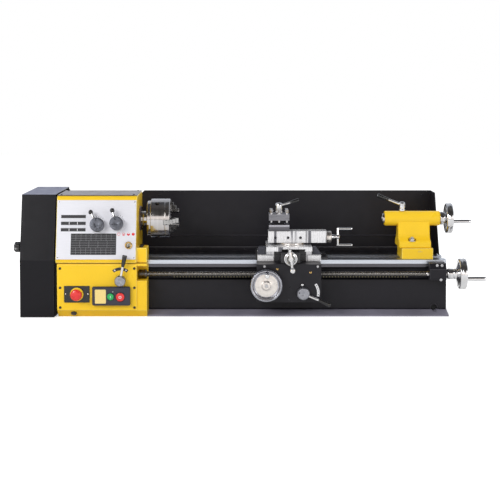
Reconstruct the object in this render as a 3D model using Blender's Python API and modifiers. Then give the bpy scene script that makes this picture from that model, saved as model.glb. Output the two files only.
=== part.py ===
"""Bench-top metal lathe, built as separate named pieces around its own frame.

The origin is on the underside of the bed, under the middle of its length.  +X runs along the bed
from the gear cover to the tailstock, -Y faces the operator and +Z is up.  Sizes below are in
millimetres; MM turns them into Blender's metres.
"""

import math

import bmesh
import bpy
from mathutils import Matrix, Vector

MM = 0.001
GAP = 0.3                     # room left between two pieces that touch

# Bed: two ways joined by webs, on splayed feet
BED_LEFT, BED_RIGHT = -588.0, 637.0
BED_TOP = 170.0
WAY_OUT, WAY_IN = 67.5, 27.5
WEB_OUT, WEB_IN = 68.0, 54.0
FOOT_HALF = 128.0
RIB_PITCH = 122.0

# Spindle line, shared by chuck, spindle and tailstock
AXIS_Y, AXIS_Z = 0.0, 295.0
CHUCK_R = 62.5
CHUCK_BACK, CHUCK_FACE = -312.0, -239.0
JAW_ANGLES = (187.0, 67.0, 307.0)
JAW_WIDTH = 15.4
PINION_ANGLE = 127.0

# Headstock and the control box in front of the bed
HEAD_LEFT, HEAD_RIGHT = -588.0, -337.0
HEAD_TOP = 376.0
SLANT_LOW = (-148.0, 181.0)   # (Y, Z) where the slanted front begins
SLANT_HIGH = (-100.0, 366.0)  # (Y, Z) where it ends
CONTROL_RIGHT = -305.0
CONTROL_TOP = 168.0
CONTROL_FRONT = -150.0        # face of the control panel

# Drive at the left end
PLATE_LEFT, PLATE_RIGHT = -592.0, -588.3
COVER_LEFT = -698.0
COVER_REAR = 208.0
HINGE_X, HINGE_Y = -590.15, 214.0
MOTOR_Y, MOTOR_Z = 150.0, 245.0
BELT_LOW, BELT_HIGH = -643.0, -629.0
SPINDLE_PULLEY_R, MOTOR_PULLEY_R = 34.0, 20.0   # radii at the bottom of the belt grooves
BELT_THICK = 6.0
GEAR_LOW, GEAR_HIGH = -612.0, -602.0
GEAR_MODULE = 2.5
RACK_MODULE = 3.0
SPINDLE_TEETH, IDLER_TEETH, SCREW_TEETH = 20, 50, 36

# Leadscrew and rack along the front of the bed
SCREW_Y, SCREW_Z = -95.0, 129.5
SCREW_R = 8.0
RACK_LEFT, RACK_RIGHT = -265.0, 488.0
RACK_PITCH_Z = 117.5
PINION_TEETH = 10

# Carriage
CARRIAGE_WHEEL = (66.0, 103.0)      # (X, Z)
WHEEL_TEETH, REDUCER_TEETH, APRON_MODULE = 12, 36, 1.5
APRON_FRONT, APRON_REAR = -140.0, -82.0
HALF_NUT = (185.0, 9.0)             # (X of the middle, distance each half opens)
CROSS_X, CROSS_Z = 142.0, 183.0
SWIVEL_X, SWIVEL_Y = 150.0, -14.0
COMPOUND_Z = 236.5
POST_X, POST_Y = 108.5, -14.0
POST_WIDTH = 65.0

# Tailstock
TAIL_LEFT, TAIL_RIGHT = 497.0, 596.0
BARREL_R, QUILL_R = 23.5, 15.0

CONTROLS = ((-521.0, 74.5), (-416.0, 68.0), (-386.0, 67.0))   # (X, Z) of stop switch, start, stop
FEED_HUB = (-386.0, 117.0)
SELECTORS = ((-459.0, 284.5, 27.0), (-399.0, 288.5, 18.0))    # (X, Z, lean of the lever)


def clear_scene():
    for item in list(bpy.data.objects):
        bpy.data.objects.remove(item, do_unlink=True)


clear_scene()
lathe = bpy.data.collections.new("metal_lathe")
cutters = bpy.data.collections.new("cutters")
bpy.context.scene.collection.children.link(lathe)
bpy.context.scene.collection.children.link(cutters)


def material(name, colour, roughness, metallic):
    made = bpy.data.materials.new(name)
    made.use_nodes = True
    shader = made.node_tree.nodes["Principled BSDF"]
    shader.inputs["Base Color"].default_value = (*colour, 1.0)
    shader.inputs["Roughness"].default_value = roughness
    shader.inputs["Metallic"].default_value = metallic
    return made


YELLOW = material("yellow_paint", (1.0, 0.60, 0.02), 0.35, 0.0)
BLACK = material("black_paint", (0.018, 0.017, 0.022), 0.45, 0.0)
STEEL = material("ground_steel", (0.62, 0.62, 0.64), 0.25, 1.0)
DARK_STEEL = material("dark_steel", (0.20, 0.19, 0.18), 0.4, 1.0)
ALUMINIUM = material("panel_aluminium", (0.76, 0.76, 0.80), 0.4, 0.3)
PLASTIC = material("black_plastic", (0.02, 0.02, 0.02), 0.5, 0.0)
SWITCH_BLUE = material("switch_box_plastic", (0.02, 0.03, 0.07), 0.45, 0.0)
RED = material("red_plastic", (0.65, 0.01, 0.01), 0.35, 0.0)
GREEN = material("green_plastic", (0.01, 0.30, 0.05), 0.35, 0.0)
BRASS = material("brass", (0.75, 0.50, 0.18), 0.3, 1.0)
RUBBER = material("belt_rubber", (0.02, 0.02, 0.02), 0.8, 0.0)
MOTOR_GREY = material("motor_paint", (0.05, 0.05, 0.055), 0.5, 0.0)

TURN = {
    "X": Matrix(((0, 0, 1), (1, 0, 0), (0, 1, 0))).to_4x4(),    # flat shape's x, y lie along Y, Z
    "Y": Matrix(((1, 0, 0), (0, 0, -1), (0, 1, 0))).to_4x4(),   # flat shape's x, y lie along X, Z
    "Z": Matrix.Identity(4),
}
AXIS_VECTOR = {"X": Vector((1, 0, 0)), "Y": Vector((0, 1, 0)), "Z": Vector((0, 0, 1))}


def place(name, mesh, finish, pivot=(0, 0, 0)):
    """Make an object from a mesh in world millimetres, with its origin at the pivot."""
    mesh.transform(Matrix.Scale(MM, 4) @ Matrix.Translation(-Vector(pivot)))
    mesh.materials.clear()
    mesh.materials.append(finish)
    item = bpy.data.objects.new(name, mesh)
    item.location = Vector(pivot) * MM
    lathe.objects.link(item)
    return item


def from_bmesh(name, shape, finish, pivot=(0, 0, 0), smooth=False):
    mesh = bpy.data.meshes.new(name)
    shape.to_mesh(mesh)
    shape.free()
    if smooth:
        mesh.shade_smooth()
        mesh.set_sharp_from_angle(angle=math.radians(40))
    return place(name, mesh, finish, pivot)


def box(name, x, y, z, finish=STEEL, pivot=(0, 0, 0)):
    """A block between two limits on each axis."""
    shape = bmesh.new()
    bmesh.ops.create_cube(shape, size=1.0)
    size = Vector((x[1] - x[0], y[1] - y[0], z[1] - z[0]))
    middle = Vector((x[0] + x[1], y[0] + y[1], z[0] + z[1])) / 2
    bmesh.ops.scale(shape, vec=size, verts=shape.verts)
    bmesh.ops.translate(shape, vec=middle, verts=shape.verts)
    return from_bmesh(name, shape, finish, pivot)


def rod(name, start, end, radius, finish=STEEL, tip=None, sides=10, pivot=(0, 0, 0)):
    """A round bar or cone between two points."""
    start, end = Vector(start), Vector(end)
    shape = bmesh.new()
    bmesh.ops.create_cone(shape, cap_ends=True, segments=sides, radius1=radius,
                          radius2=radius if tip is None else tip, depth=(end - start).length)
    turn = Vector((0, 0, 1)).rotation_difference(end - start).to_matrix().to_4x4()
    shape.transform(Matrix.Translation((start + end) / 2) @ turn)
    return from_bmesh(name, shape, finish, pivot, smooth=True)


def ball(name, centre, radius, finish=PLASTIC):
    shape = bmesh.new()
    bmesh.ops.create_uvsphere(shape, u_segments=14, v_segments=10, radius=radius)
    bmesh.ops.translate(shape, vec=Vector(centre), verts=shape.verts)
    return from_bmesh(name, shape, finish, smooth=True)


def circle(middle, radius, sides=16):
    steps = [2 * math.pi * i / sides for i in range(sides)]
    return [(middle[0] + radius * math.cos(a), middle[1] + radius * math.sin(a)) for a in steps]


def mirrored(half):
    """A whole outline from the right half's (Y, Z) points, listed from the bottom up."""
    return [(-y, z) for y, z in reversed(half)] + list(half)


def outline(name, points, axis, low, high, finish=STEEL, holes=(), pivot=(0, 0, 0)):
    """A flat outline, filled and extruded along an axis between two positions."""
    curve = bpy.data.curves.new(name, "CURVE")
    curve.dimensions = "2D"
    curve.fill_mode = "BOTH"
    curve.extrude = (high - low) / 2
    for loop in (points, *holes):
        spline = curve.splines.new("POLY")
        spline.points.add(len(loop) - 1)
        for point, (a, b) in zip(spline.points, loop):
            point.co = (a, b, 0, 1)
        spline.use_cyclic_u = True
    flat = bpy.data.objects.new(name + "_outline", curve)
    lathe.objects.link(flat)
    flat.matrix_world = Matrix.Translation(AXIS_VECTOR[axis] * (low + high) / 2) @ TURN[axis]
    depsgraph = bpy.context.evaluated_depsgraph_get()
    mesh = bpy.data.meshes.new_from_object(flat.evaluated_get(depsgraph))
    mesh.transform(flat.matrix_world)
    bpy.data.objects.remove(flat)
    shape = bmesh.new()
    shape.from_mesh(mesh)
    bpy.data.meshes.remove(mesh)
    bmesh.ops.remove_doubles(shape, verts=shape.verts, dist=0.01)
    return from_bmesh(name, shape, finish, pivot)


def turned(name, centre, axis, stations, finish=STEEL, bore=0.0, steps=16):
    """A turned shape: (distance along the axis, radius) pairs, spun round with a Screw modifier.

    The profile runs down its outer side from the far end to the near end.  A bore closes the
    profile into a ring; without one it ends on the axis.
    """
    profile = [(radius, along) for along, radius in reversed(stations)]
    if bore:
        profile += [(bore, stations[0][0]), (bore, stations[-1][0])]
    else:
        profile = [(0.0, stations[-1][0])] + profile + [(0.0, stations[0][0])]
    mesh = bpy.data.meshes.new(name)
    edges = [(i, i + 1) for i in range(len(profile) - 1)]
    if bore:
        edges.append((len(profile) - 1, 0))
    mesh.from_pydata([(r * MM, 0, t * MM) for r, t in profile], edges, [])
    mesh.materials.append(finish)
    item = bpy.data.objects.new(name, mesh)
    direction = AXIS_VECTOR[axis] if isinstance(axis, str) else Vector(axis)
    item.rotation_mode = "QUATERNION"
    item.rotation_quaternion = Vector((0, 0, 1)).rotation_difference(direction)
    item.location = Vector(centre) * MM
    lathe.objects.link(item)
    spin = item.modifiers.new("spin", "SCREW")
    spin.steps = steps
    spin.render_steps = steps
    spin.use_merge_vertices = True
    spin.merge_threshold = 1e-5
    spin.use_smooth_shade = True
    return item


def combine(target, tools, operation):
    for tool in tools:
        lathe.objects.unlink(tool)
        cutters.objects.link(tool)
        tool.hide_render = True
        tool.display_type = "WIRE"
        step = target.modifiers.new(operation.lower(), "BOOLEAN")
        step.operation = operation
        step.object = tool
        step.solver = "EXACT"
    return target


def cut(target, *tools):
    return combine(target, tools, "DIFFERENCE")


def join(target, *tools):
    return combine(target, tools, "UNION")


def bore_tool(name, start, end, radius, sides=16):
    return rod(name + "_cutter", start, end, radius, sides=sides)


def gear_points(middle, teeth, module, lean=0.0):
    """Outline of a spur gear with straight-sided teeth, one of them centred at the angle lean."""
    pitch = 2 * math.pi / teeth
    tip = module * (teeth / 2 + 0.8)
    root = module * (teeth / 2 - 1.15)
    points = []
    for tooth in range(teeth):
        for offset, radius in ((-0.27, root), (-0.12, tip), (0.12, tip), (0.27, root)):
            angle = lean + (tooth + offset) * pitch
            points.append((middle[0] + radius * math.cos(angle), middle[1] + radius * math.sin(angle)))
    return points


def meshing_lean(first, first_teeth, first_lean, second, second_teeth):
    """Angle of a tooth on the second gear that puts a gap of it on a tooth of the first."""
    toward = math.atan2(second[1] - first[1], second[0] - first[0])
    first_part = (first_lean - toward) * first_teeth / (2 * math.pi)
    return toward + math.pi + (0.5 - first_part) * 2 * math.pi / second_teeth


def on_slant(x, z, height):
    """Point at a height off the headstock's slanted front, above the place with this X and Z."""
    run = Vector((SLANT_HIGH[0] - SLANT_LOW[0], SLANT_HIGH[1] - SLANT_LOW[1]))
    y = SLANT_LOW[0] + run.x * (z - SLANT_LOW[1]) / run.y
    return Vector((x, y, z)) + slant_normal() * height


def slant_normal():
    run = Vector((SLANT_HIGH[0] - SLANT_LOW[0], SLANT_HIGH[1] - SLANT_LOW[1])).normalized()
    return Vector((0.0, -run.y, run.x))


# ---------------------------------------------------------------- bed, rack and sheet metal

def make_bed():
    half = ((WAY_IN, BED_TOP), (WAY_OUT, BED_TOP), (WAY_OUT, 146), (58, 141), (58, 112), (WEB_OUT, 107),
            (WEB_OUT + 2, 16), (FOOT_HALF - 2, 5), (FOOT_HALF, 0), (50, 0), (WEB_IN, 14), (WEB_IN, 104),
            (44, 110), (44, 138), (WAY_IN, 146))
    front = [(-y, z) for y, z in half]
    bed = outline("bed", front, "X", BED_LEFT, BED_RIGHT, BLACK)
    rear = outline("bed_rear_half", half, "X", BED_LEFT, BED_RIGHT)
    ribs = [box(f"bed_rib_{i}", (x - 7, x + 7), (-60, 60), (0, 100))
            for i, x in enumerate(step * RIB_PITCH for step in range(-4, 5))]
    ends = [box("bed_end_left", (BED_LEFT + 1, BED_LEFT + 15), (-60, 60), (0.5, 103)),
            box("bed_end_right", (BED_RIGHT - 16, BED_RIGHT - 1), (-60, 60), (0.5, 103))]
    join(bed, rear, *ribs, *ends)
    recess = box("control_box_recess_cutter", (BED_LEFT - 5, CONTROL_RIGHT + GAP), (-140, -71), (-5, 40))
    hole = bore_tool("lifting_hole", (598, -150, 19), (598, -40, 19), 10)
    cut(bed, recess, hole)


def make_rack():
    pitch = math.pi * RACK_MODULE
    count = int((RACK_RIGHT - RACK_LEFT) / pitch)
    first = CARRIAGE_WHEEL[0] + pinion_offset() - pitch * round((CARRIAGE_WHEEL[0] - RACK_LEFT) / pitch)
    points = []
    for tooth in range(count):
        middle = first + (tooth + 0.5) * pitch
        for offset, drop in ((-0.27, -1.15), (-0.12, 0.8), (0.12, 0.8), (0.27, -1.15)):
            points.append((middle + offset * pitch, RACK_PITCH_Z - drop * RACK_MODULE))
    points += [(points[-1][0], 127), (points[0][0], 127)]
    outline("rack", points, "Y", -78, -58 - GAP, DARK_STEEL)


def make_rear_guard():
    wall = outline("rear_guard", ((-353, 160), (628, 160), (628, 367), (-340, 367), (-353, 354)),
                   "Y", 218, 220, BLACK)
    tray = box("guard_tray", (-345, 628), (WAY_OUT + GAP, 219), (160, 162))
    wing = outline("guard_wing",
                   ((219.5, 161), (68, 161), (68, 173), (16, 173), (122, 367), (219.5, 367)), "X", 626, 628)
    lip = outline("guard_lip", ((219.5, 161), (190, 161), (219.5, 340)), "X", -345, -343)
    join(wall, tray, wing, lip)


# ---------------------------------------------------------------- headstock and controls

def make_headstock():
    casing = outline("headstock_casting",
                     ((-146, BED_TOP + GAP), SLANT_LOW, SLANT_HIGH, (-92, HEAD_TOP), (80, HEAD_TOP),
                      (88, 368), (88, BED_TOP + GAP)), "X", HEAD_LEFT, HEAD_RIGHT, YELLOW)
    block = box("headstock_toe", (HEAD_RIGHT - 5, CONTROL_RIGHT), (-136, -60), (BED_TOP + GAP, 216))
    join(casing, block)
    hollow = outline("headstock_hollow_cutter",
                     ((-136, 160), (-138, 182), (-92, 360), (-86, 366), (74, 366), (78, 360), (78, 160)),
                     "X", HEAD_LEFT + 10, HEAD_RIGHT - 10)
    bore = bore_tool("spindle_bore", (HEAD_LEFT - 5, 0, AXIS_Z), (HEAD_LEFT + 20, 0, AXIS_Z), 21)
    seat = bore_tool("bearing_seat", (HEAD_RIGHT - 20, 0, AXIS_Z), (HEAD_RIGHT + 5, 0, AXIS_Z), 40, sides=24)
    cut(casing, hollow, bore, seat)
    turned("spindle_bearing", (0, 0, AXIS_Z), "X", ((HEAD_RIGHT - 22, 39), (HEAD_RIGHT, 39)), STEEL,
           bore=21, steps=24)


def make_headstock_panel():
    outward = slant_normal()
    low = Vector((SLANT_LOW[0], SLANT_LOW[1])) + Vector((outward.y, outward.z)) * GAP
    high = Vector((SLANT_HIGH[0], SLANT_HIGH[1])) + Vector((outward.y, outward.z)) * GAP
    thick = Vector((outward.y, outward.z)) * 2.2
    start, end = low.lerp(high, 0.004), low.lerp(high, 0.978)
    panel = outline("headstock_panel", [tuple(p) for p in (start, end, end + thick, start + thick)],
                    "X", HEAD_LEFT + 2, HEAD_RIGHT - 2, ALUMINIUM)
    for i, (x, z, _) in enumerate(SELECTORS):
        ring = rod(f"selector_ring_{i}", on_slant(x, z, 1.5), on_slant(x, z, 8), 25, sides=20)
        join(panel, ring)


def make_sight_glass():
    turned("sight_glass", on_slant(-361.5, 224, 2.8), slant_normal(),
           ((0, 11.5), (4, 11.5), (5, 10), (5.2, 7.5), (3.5, 7)), BRASS)


def make_selectors():
    side = ("left", "right")
    outward = slant_normal()
    upward = Vector((1, 0, 0)).cross(outward) * -1
    for i, (x, z, lean) in enumerate(SELECTORS):
        radius, reach = (21.7, 43.5) if i == 0 else (20.8, 42.0)
        angle = math.radians(lean)
        way = upward * math.cos(angle) - Vector((1, 0, 0)) * math.sin(angle)
        hub = turned(f"selector_lever_{side[i]}", on_slant(x, z, 8 + GAP), outward,
                     ((0, radius), (19, radius), (21.5, radius - 2.5)), STEEL, steps=20)
        middle = on_slant(x, z, 24)
        arm = rod(f"selector_arm_{i}", middle + way * 8, middle + way * reach, 4)
        knob = ball(f"selector_ball_{i}", middle + way * reach, 7.4)
        join(hub, arm, knob)


def make_control_box():
    back = -WEB_OUT - 3
    section = ((back, CONTROL_TOP), (-146, CONTROL_TOP), (-146, 23), (-125, 0), (back, 0))
    casing = outline("control_box", section, "X", BED_LEFT + 5, CONTROL_RIGHT, YELLOW)
    hollow = box("control_hollow_cutter", (-575, -343), (-160, back - 9), (30, 158))
    slot = box("bush_slot_cutter", (-336, CONTROL_RIGHT + 5), (-160, -79), (115, 161))
    bore = bore_tool("feed_bore", (-600, SCREW_Y, SCREW_Z), (-320, SCREW_Y, SCREW_Z), SCREW_R + 2)
    cut(casing, hollow, slot, bore)
    box("control_panel", (BED_LEFT + 5, -336), (CONTROL_FRONT, -146 - GAP), (23.5, 165), YELLOW)
    turned("leadscrew_bush", (0, SCREW_Y, SCREW_Z), "X",
           ((-335, 10), (-331, 14), (-312, 14), (-308, 12)), DARK_STEEL, bore=SCREW_R + GAP)


def make_estop():
    x, z = CONTROLS[0]
    front = CONTROL_FRONT - GAP
    plate = box("estop_housing", (-561, -482), (front - 2.2, front), (48, 100), PLASTIC)
    collar = rod("estop_collar", (x, front - 1, z), (x, front - 12, z), 20.7, sides=20)
    pocket = bore_tool("estop_pocket", (x, front - 20, z), (x, front - 3, z), 12)
    cut(join(plate, collar), pocket)
    turned("estop_button", (x, 0, z), "Y",
           ((front - 32, 9), (front - 30, 15), (front - 26, 18), (front - 20, 18), (front - 19, 11.5),
            (front - 10, 11.5)), RED)


def make_switch_box():
    front = CONTROL_FRONT - GAP
    case = box("switch_box", (-473, -355), (front - 14, front), (40, 99), SWITCH_BLUE)
    rim = case.modifiers.new("rounded_rim", "BEVEL")
    rim.width = 4 * MM
    rim.segments = 2
    for name, spot, radius, finish in (("start_button", CONTROLS[1], 10.5, GREEN),
                                       ("stop_button", CONTROLS[2], 13.3, RED)):
        x, z = spot
        cut(case, bore_tool(name + "_pocket", (x, front - 20, z), (x, front - 3, z), radius + 0.5))
        turned(name, (x, 0, z), "Y",
               ((front - 17.5, radius - 1.5), (front - 16, radius), (front - 7, radius)), finish)


def make_feed_lever():
    x, z = FEED_HUB
    front = CONTROL_FRONT - GAP
    lean = math.radians(11)
    way = Vector((math.sin(lean), 0, math.cos(lean)))
    middle = Vector((x, front - 16, z))
    hub = turned("feed_lever", (x, 0, z), "Y", ((front - 22, 14), (front - 19, 17), (front, 17)), STEEL)
    stem = rod("feed_stem", middle + way * 8, middle + way * 48, 4)
    grip = rod("feed_grip", middle + way * 45, middle + way * 82, 5.2, tip=7.5)
    join(hub, stem, grip)


# ---------------------------------------------------------------- drive

def gear_middles():
    """Centres (Y, Z) of the three gears; the idler sits where its two pitch circles meet."""
    spindle, screw = Vector((AXIS_Y, AXIS_Z)), Vector((SCREW_Y, SCREW_Z))
    near = GEAR_MODULE * (SPINDLE_TEETH + IDLER_TEETH) / 2
    far = GEAR_MODULE * (SCREW_TEETH + IDLER_TEETH) / 2
    between = (screw - spindle).length
    along = (near ** 2 - far ** 2 + between ** 2) / (2 * between)
    aside = math.sqrt(near ** 2 - along ** 2)
    forward = (screw - spindle).normalized()
    idler = spindle + forward * along + Vector((forward.y, -forward.x)) * aside
    return tuple(spindle), tuple(idler), tuple(screw)


def make_change_gears():
    spindle, idler, screw = gear_middles()
    idler_lean = meshing_lean(spindle, SPINDLE_TEETH, 0.0, idler, IDLER_TEETH)
    screw_lean = meshing_lean(idler, IDLER_TEETH, idler_lean, screw, SCREW_TEETH)
    for name, middle, teeth, lean, bore in (("spindle_gear", spindle, SPINDLE_TEETH, 0.0, 15 + GAP),
                                            ("idler_gear", idler, IDLER_TEETH, idler_lean, 8 + GAP),
                                            ("leadscrew_gear", screw, SCREW_TEETH, screw_lean, 7 + GAP)):
        outline(name, gear_points(middle, teeth, GEAR_MODULE, lean), "X", GEAR_LOW, GEAR_HIGH, STEEL,
                holes=[circle(middle, bore)], pivot=(GEAR_LOW, *middle))
    arm = rod("gear_quadrant", (-600, *idler), (PLATE_LEFT - GAP, *idler), 18, DARK_STEEL, sides=20)
    bar = outline("quadrant_bar", [(idler[0] - 12, idler[1]), (screw[0] - 12, screw[1] + 26),
                                   (screw[0] + 12, screw[1] + 20), (idler[0] + 12, idler[1])],
                  "X", -599, PLATE_LEFT - GAP - 1)
    stud = rod("quadrant_stud", (-618, *idler), (-595, *idler), 8, sides=16)
    join(arm, bar, stud)


def make_spindle():
    turned("spindle", (0, 0, AXIS_Z), "X",
           ((-668, 15), (-595, 15), (-594, 20), (-342, 20), (HEAD_RIGHT + GAP, 20), (HEAD_RIGHT + 1, 23),
            (CHUCK_BACK - GAP, 23)), STEEL, bore=10, steps=20)


def make_pulley(name, middle, bottom, bore=0.0, reach=None):
    """A grooved pulley; with reach it carries its own shaft to that X instead of a bore."""
    rim = bottom + 8
    stations = [(-650, rim - 2), (-648, rim), (-645.5, rim), (-644, bottom), (-628, bottom), (-626.5, rim),
                (-623, rim), (-622, rim - 3)]
    if reach is not None:
        stations += [(-621, 9), (reach, 9)]
    return turned(name, (0, *middle), "X", stations, STEEL, bore=bore, steps=20)


def make_belt():
    """A flat loop lying in both grooves: two arcs joined by the outer tangents."""
    big, small = Vector((AXIS_Y, AXIS_Z)), Vector((MOTOR_Y, MOTOR_Z))
    away = small - big
    lead = math.atan2(away.y, away.x)

    def loop(extra):
        radius_big, radius_small = SPINDLE_PULLEY_R + extra, MOTOR_PULLEY_R + extra
        spread = math.acos((radius_big - radius_small) / away.length)
        points = []
        for middle, radius, start, sweep in ((big, radius_big, lead + spread, 2 * math.pi - 2 * spread),
                                             (small, radius_small, lead - spread, 2 * spread)):
            for i in range(15):
                angle = start + sweep * i / 14
                points.append((middle.x + radius * math.cos(angle), middle.y + radius * math.sin(angle)))
        return points

    outline("drive_belt", loop(BELT_THICK + 0.5), "X", BELT_LOW, BELT_HIGH, RUBBER, holes=[loop(0.8)])


def make_motor():
    body = turned("motor", (0, MOTOR_Y, MOTOR_Z), "X",
                  ((-566, 20), (-562, 44), (-556, 50), (-548, 50), (-546, 48), (-392, 48), (-390, 50),
                   (-382, 50), (-374, 40), (-372, 20)), MOTOR_GREY, steps=20)
    saddle = box("motor_bracket", (-540, -410), (88 + GAP, 112), (205, 270))
    terminal = box("terminal_box", (-510, -430), (120, 180), (285, 318))
    gland = rod("cable_gland", (-432, 150, 301), (-416, 150, 301), 9, sides=12)
    pocket = bore_tool("shaft_pocket", (-575, MOTOR_Y, MOTOR_Z), (-545, MOTOR_Y, MOTOR_Z), 10)
    cut(join(body, saddle, terminal, gland), pocket)
    make_pulley("motor_pulley", (MOTOR_Y, MOTOR_Z), MOTOR_PULLEY_R, reach=-549)


def make_case_plate():
    """Flat plate that carries the cover's hinge, with clearance holes for the three shafts."""
    front = [(-140, 4), (-140, 176), (-92, 372), (203, 372), (203, 4)]
    holes = [circle((AXIS_Y, AXIS_Z), 24), circle((SCREW_Y, SCREW_Z), 12), circle((MOTOR_Y, MOTOR_Z), 14)]
    plate = outline("gear_case_plate", front, "X", PLATE_LEFT, PLATE_RIGHT, BLACK, holes=holes)
    ears = [box(f"hinge_ear_{z}", (PLATE_LEFT + 0.2, PLATE_RIGHT - 0.2), (198, HINGE_Y), (z, z + 24))
            for z in (70, 300)]
    pins = [rod(f"hinge_pin_{z}", (HINGE_X, HINGE_Y, z), (HINGE_X, HINGE_Y, z + 60), 4) for z in (64, 294)]
    join(plate, *ears, *pins)


def make_gear_cover():
    shell = outline("gear_cover",
                    ((-150, 1.5), (-150, 179), (-96, 380), (COVER_REAR, 380), (COVER_REAR, 1.5)),
                    "X", COVER_LEFT, PLATE_LEFT - GAP, BLACK, pivot=(HINGE_X, HINGE_Y, 0))
    inside = outline("cover_inside_cutter", ((-147, 4.5), (-147, 179), (-93.5, 377), (205, 377), (205, 4.5)),
                     "X", COVER_LEFT + 3, PLATE_LEFT + 5)
    cut(shell, inside)
    for z in (95, 325):
        knuckle = rod(f"knuckle_{z}", (HINGE_X, HINGE_Y, z), (HINGE_X, HINGE_Y, z + 40), 7.8)
        leaf = box(f"knuckle_leaf_{z}", (-620, -594), (204, 213), (z + 1, z + 39))
        join(shell, knuckle, leaf)
        low, high = (HINGE_X, HINGE_Y, z - 5), (HINGE_X, HINGE_Y, z + 45)
        cut(shell, bore_tool(f"knuckle_bore_{z}", low, high, 4.3))
    knob = turned("cover_knob", (0, -20, 204), "X",
                  ((-738, 6), (-736, 13), (-718, 13), (-716, 8), (COVER_LEFT - GAP, 7)), PLASTIC, steps=20)
    for lobe in range(5):
        angle = 2 * math.pi * lobe / 5
        spot = (-20 + 11 * math.cos(angle), 204 + 11 * math.sin(angle))
        join(knob, rod(f"knob_lobe_{lobe}", (-735, *spot), (-719, *spot), 6.5, sides=10))


# ---------------------------------------------------------------- chuck

def radial(angle, radius, x):
    turn = math.radians(angle)
    return Vector((x, radius * math.cos(turn), AXIS_Z + radius * math.sin(turn)))


def radial_solid(solid, angle):
    """Turn a piece built pointing straight up from the spindle line round to an angle."""
    centre = Vector((0, 0, AXIS_Z)) * MM
    swing = Matrix.Rotation(math.radians(angle - 90), 4, "X")
    solid.data.transform(Matrix.Translation(centre) @ swing @ Matrix.Translation(-centre))
    return solid


def make_chuck():
    turned("chuck_backplate", (0, 0, AXIS_Z), "X", ((CHUCK_BACK, 56), (-300 - GAP, 56)), STEEL,
           bore=12, steps=24)
    body = turned("chuck_body", (0, 0, AXIS_Z), "X",
                  ((-300, CHUCK_R - 1), (-299, CHUCK_R), (CHUCK_FACE - 1.5, CHUCK_R),
                   (CHUCK_FACE, CHUCK_R - 1.5)),
                  STEEL, bore=16, steps=32)
    half = JAW_WIDTH / 2
    for number, angle in enumerate(JAW_ANGLES, start=1):
        slot = box(f"jaw_slot_{number}_cutter", (-259, -230), (-half - GAP, half + GAP),
                   (AXIS_Z + 4, AXIS_Z + 80))
        cut(body, radial_solid(slot, angle))
        steps = ((-258.7, 20), (-212, 20), (-212, 31), (-221, 31), (-221, 42), (-230, 42), (-230, 52),
                 (-238, 52), (-238, 60), (-258.7, 60))
        jaw = outline(f"chuck_jaw_{number}", [(x, AXIS_Z + r) for x, r in steps], "Y", -half, half, STEEL)
        radial_solid(jaw, angle)
    for offset in (0, 120, 240):
        angle = PINION_ANGLE + offset
        cut(body, bore_tool(f"key_socket_{offset}", radial(angle, 44, -279), radial(angle, 70, -279), 7))
    foot, mouth = (radial(PINION_ANGLE, radius, -279) for radius in (44.3, 60))
    key = rod("chuck_pinion", foot, mouth, 6.6, STEEL)
    socket = rod("key_square_cutter", foot.lerp(mouth, 0.5), foot.lerp(mouth, 1.4), 4.6, sides=4)
    cut(key, socket)


# ---------------------------------------------------------------- leadscrew

def make_leadscrew():
    turned("leadscrew", (0, SCREW_Y, SCREW_Z), "X",
           ((-622, 7), (-598, 7), (-597, SCREW_R), (698, SCREW_R)), STEEL, steps=16)
    back = -WEB_OUT - 2 - GAP
    bracket = outline("leadscrew_bracket",
                      ((back, 108), (-112, 112), (-115, 118), (-115, 146), (-100, 163), (back, 163)),
                      "X", 578, 631, BLACK)
    cut(bracket, bore_tool("bracket_bore", (570, SCREW_Y, SCREW_Z), (640, SCREW_Y, SCREW_Z), SCREW_R + GAP))
    wheel = turned("leadscrew_handwheel", (0, SCREW_Y, SCREW_Z), "X",
                   ((635, 15), (638, 16.8), (664, 16.8), (671, 40), (671, 46), (674, 48.5),
                    (691, 48.5), (694, 46), (685, 38), (681, 20), (697, 15)),
                   STEEL, bore=SCREW_R + GAP, steps=24)
    grip_y, grip_z = SCREW_Y - 34, SCREW_Z - 11
    join(wheel, rod("leadscrew_grip", (684, grip_y, grip_z), (752, grip_y, grip_z), 7))


# ---------------------------------------------------------------- carriage

def make_saddle():
    bridge = box("saddle", (67, 211), (-78, 98), (BED_TOP + GAP, 200), STEEL)
    dovetail = outline("saddle_dovetail", ((118, 199), (114, 207), (190, 207), (186, 199)), "Y", -77, 97)
    wings = [box(f"saddle_wing_{i}", (39, 240), y, (BED_TOP + GAP, 188))
             for i, y in enumerate(((-79, -25), (25, 79)))]
    boss = box("cross_screw_boss", (112, 172), (-128, -70), (167, 199))
    lip = box("saddle_lip", (40, 239), (-80, -WAY_OUT - GAP), (166, 180))
    wipers = [box(f"way_wiper_{i}", (235, 262), y, (BED_TOP + GAP, 178))
              for i, y in enumerate(((-72, -30), (30, 72)))]
    join(bridge, dovetail, *wings, boss, lip, *wipers)
    channel = box("nut_channel_cutter", (CROSS_X - 9, CROSS_X + 9), (-90, 72), (173, 220))
    bore = bore_tool("cross_screw_bore", (CROSS_X, -140, CROSS_Z), (CROSS_X, 92, CROSS_Z), 6.4)
    cut(bridge, channel, bore)


def pinion_offset():
    """How far the rack pinion stands to the right of the handwheel's shaft."""
    apart = APRON_MODULE * (WHEEL_TEETH + REDUCER_TEETH) / 2
    drop = CARRIAGE_WHEEL[1] - pinion_z()
    return math.sqrt(apart ** 2 - drop ** 2)


def pinion_z():
    return RACK_PITCH_Z - RACK_MODULE * PINION_TEETH / 2


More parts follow.
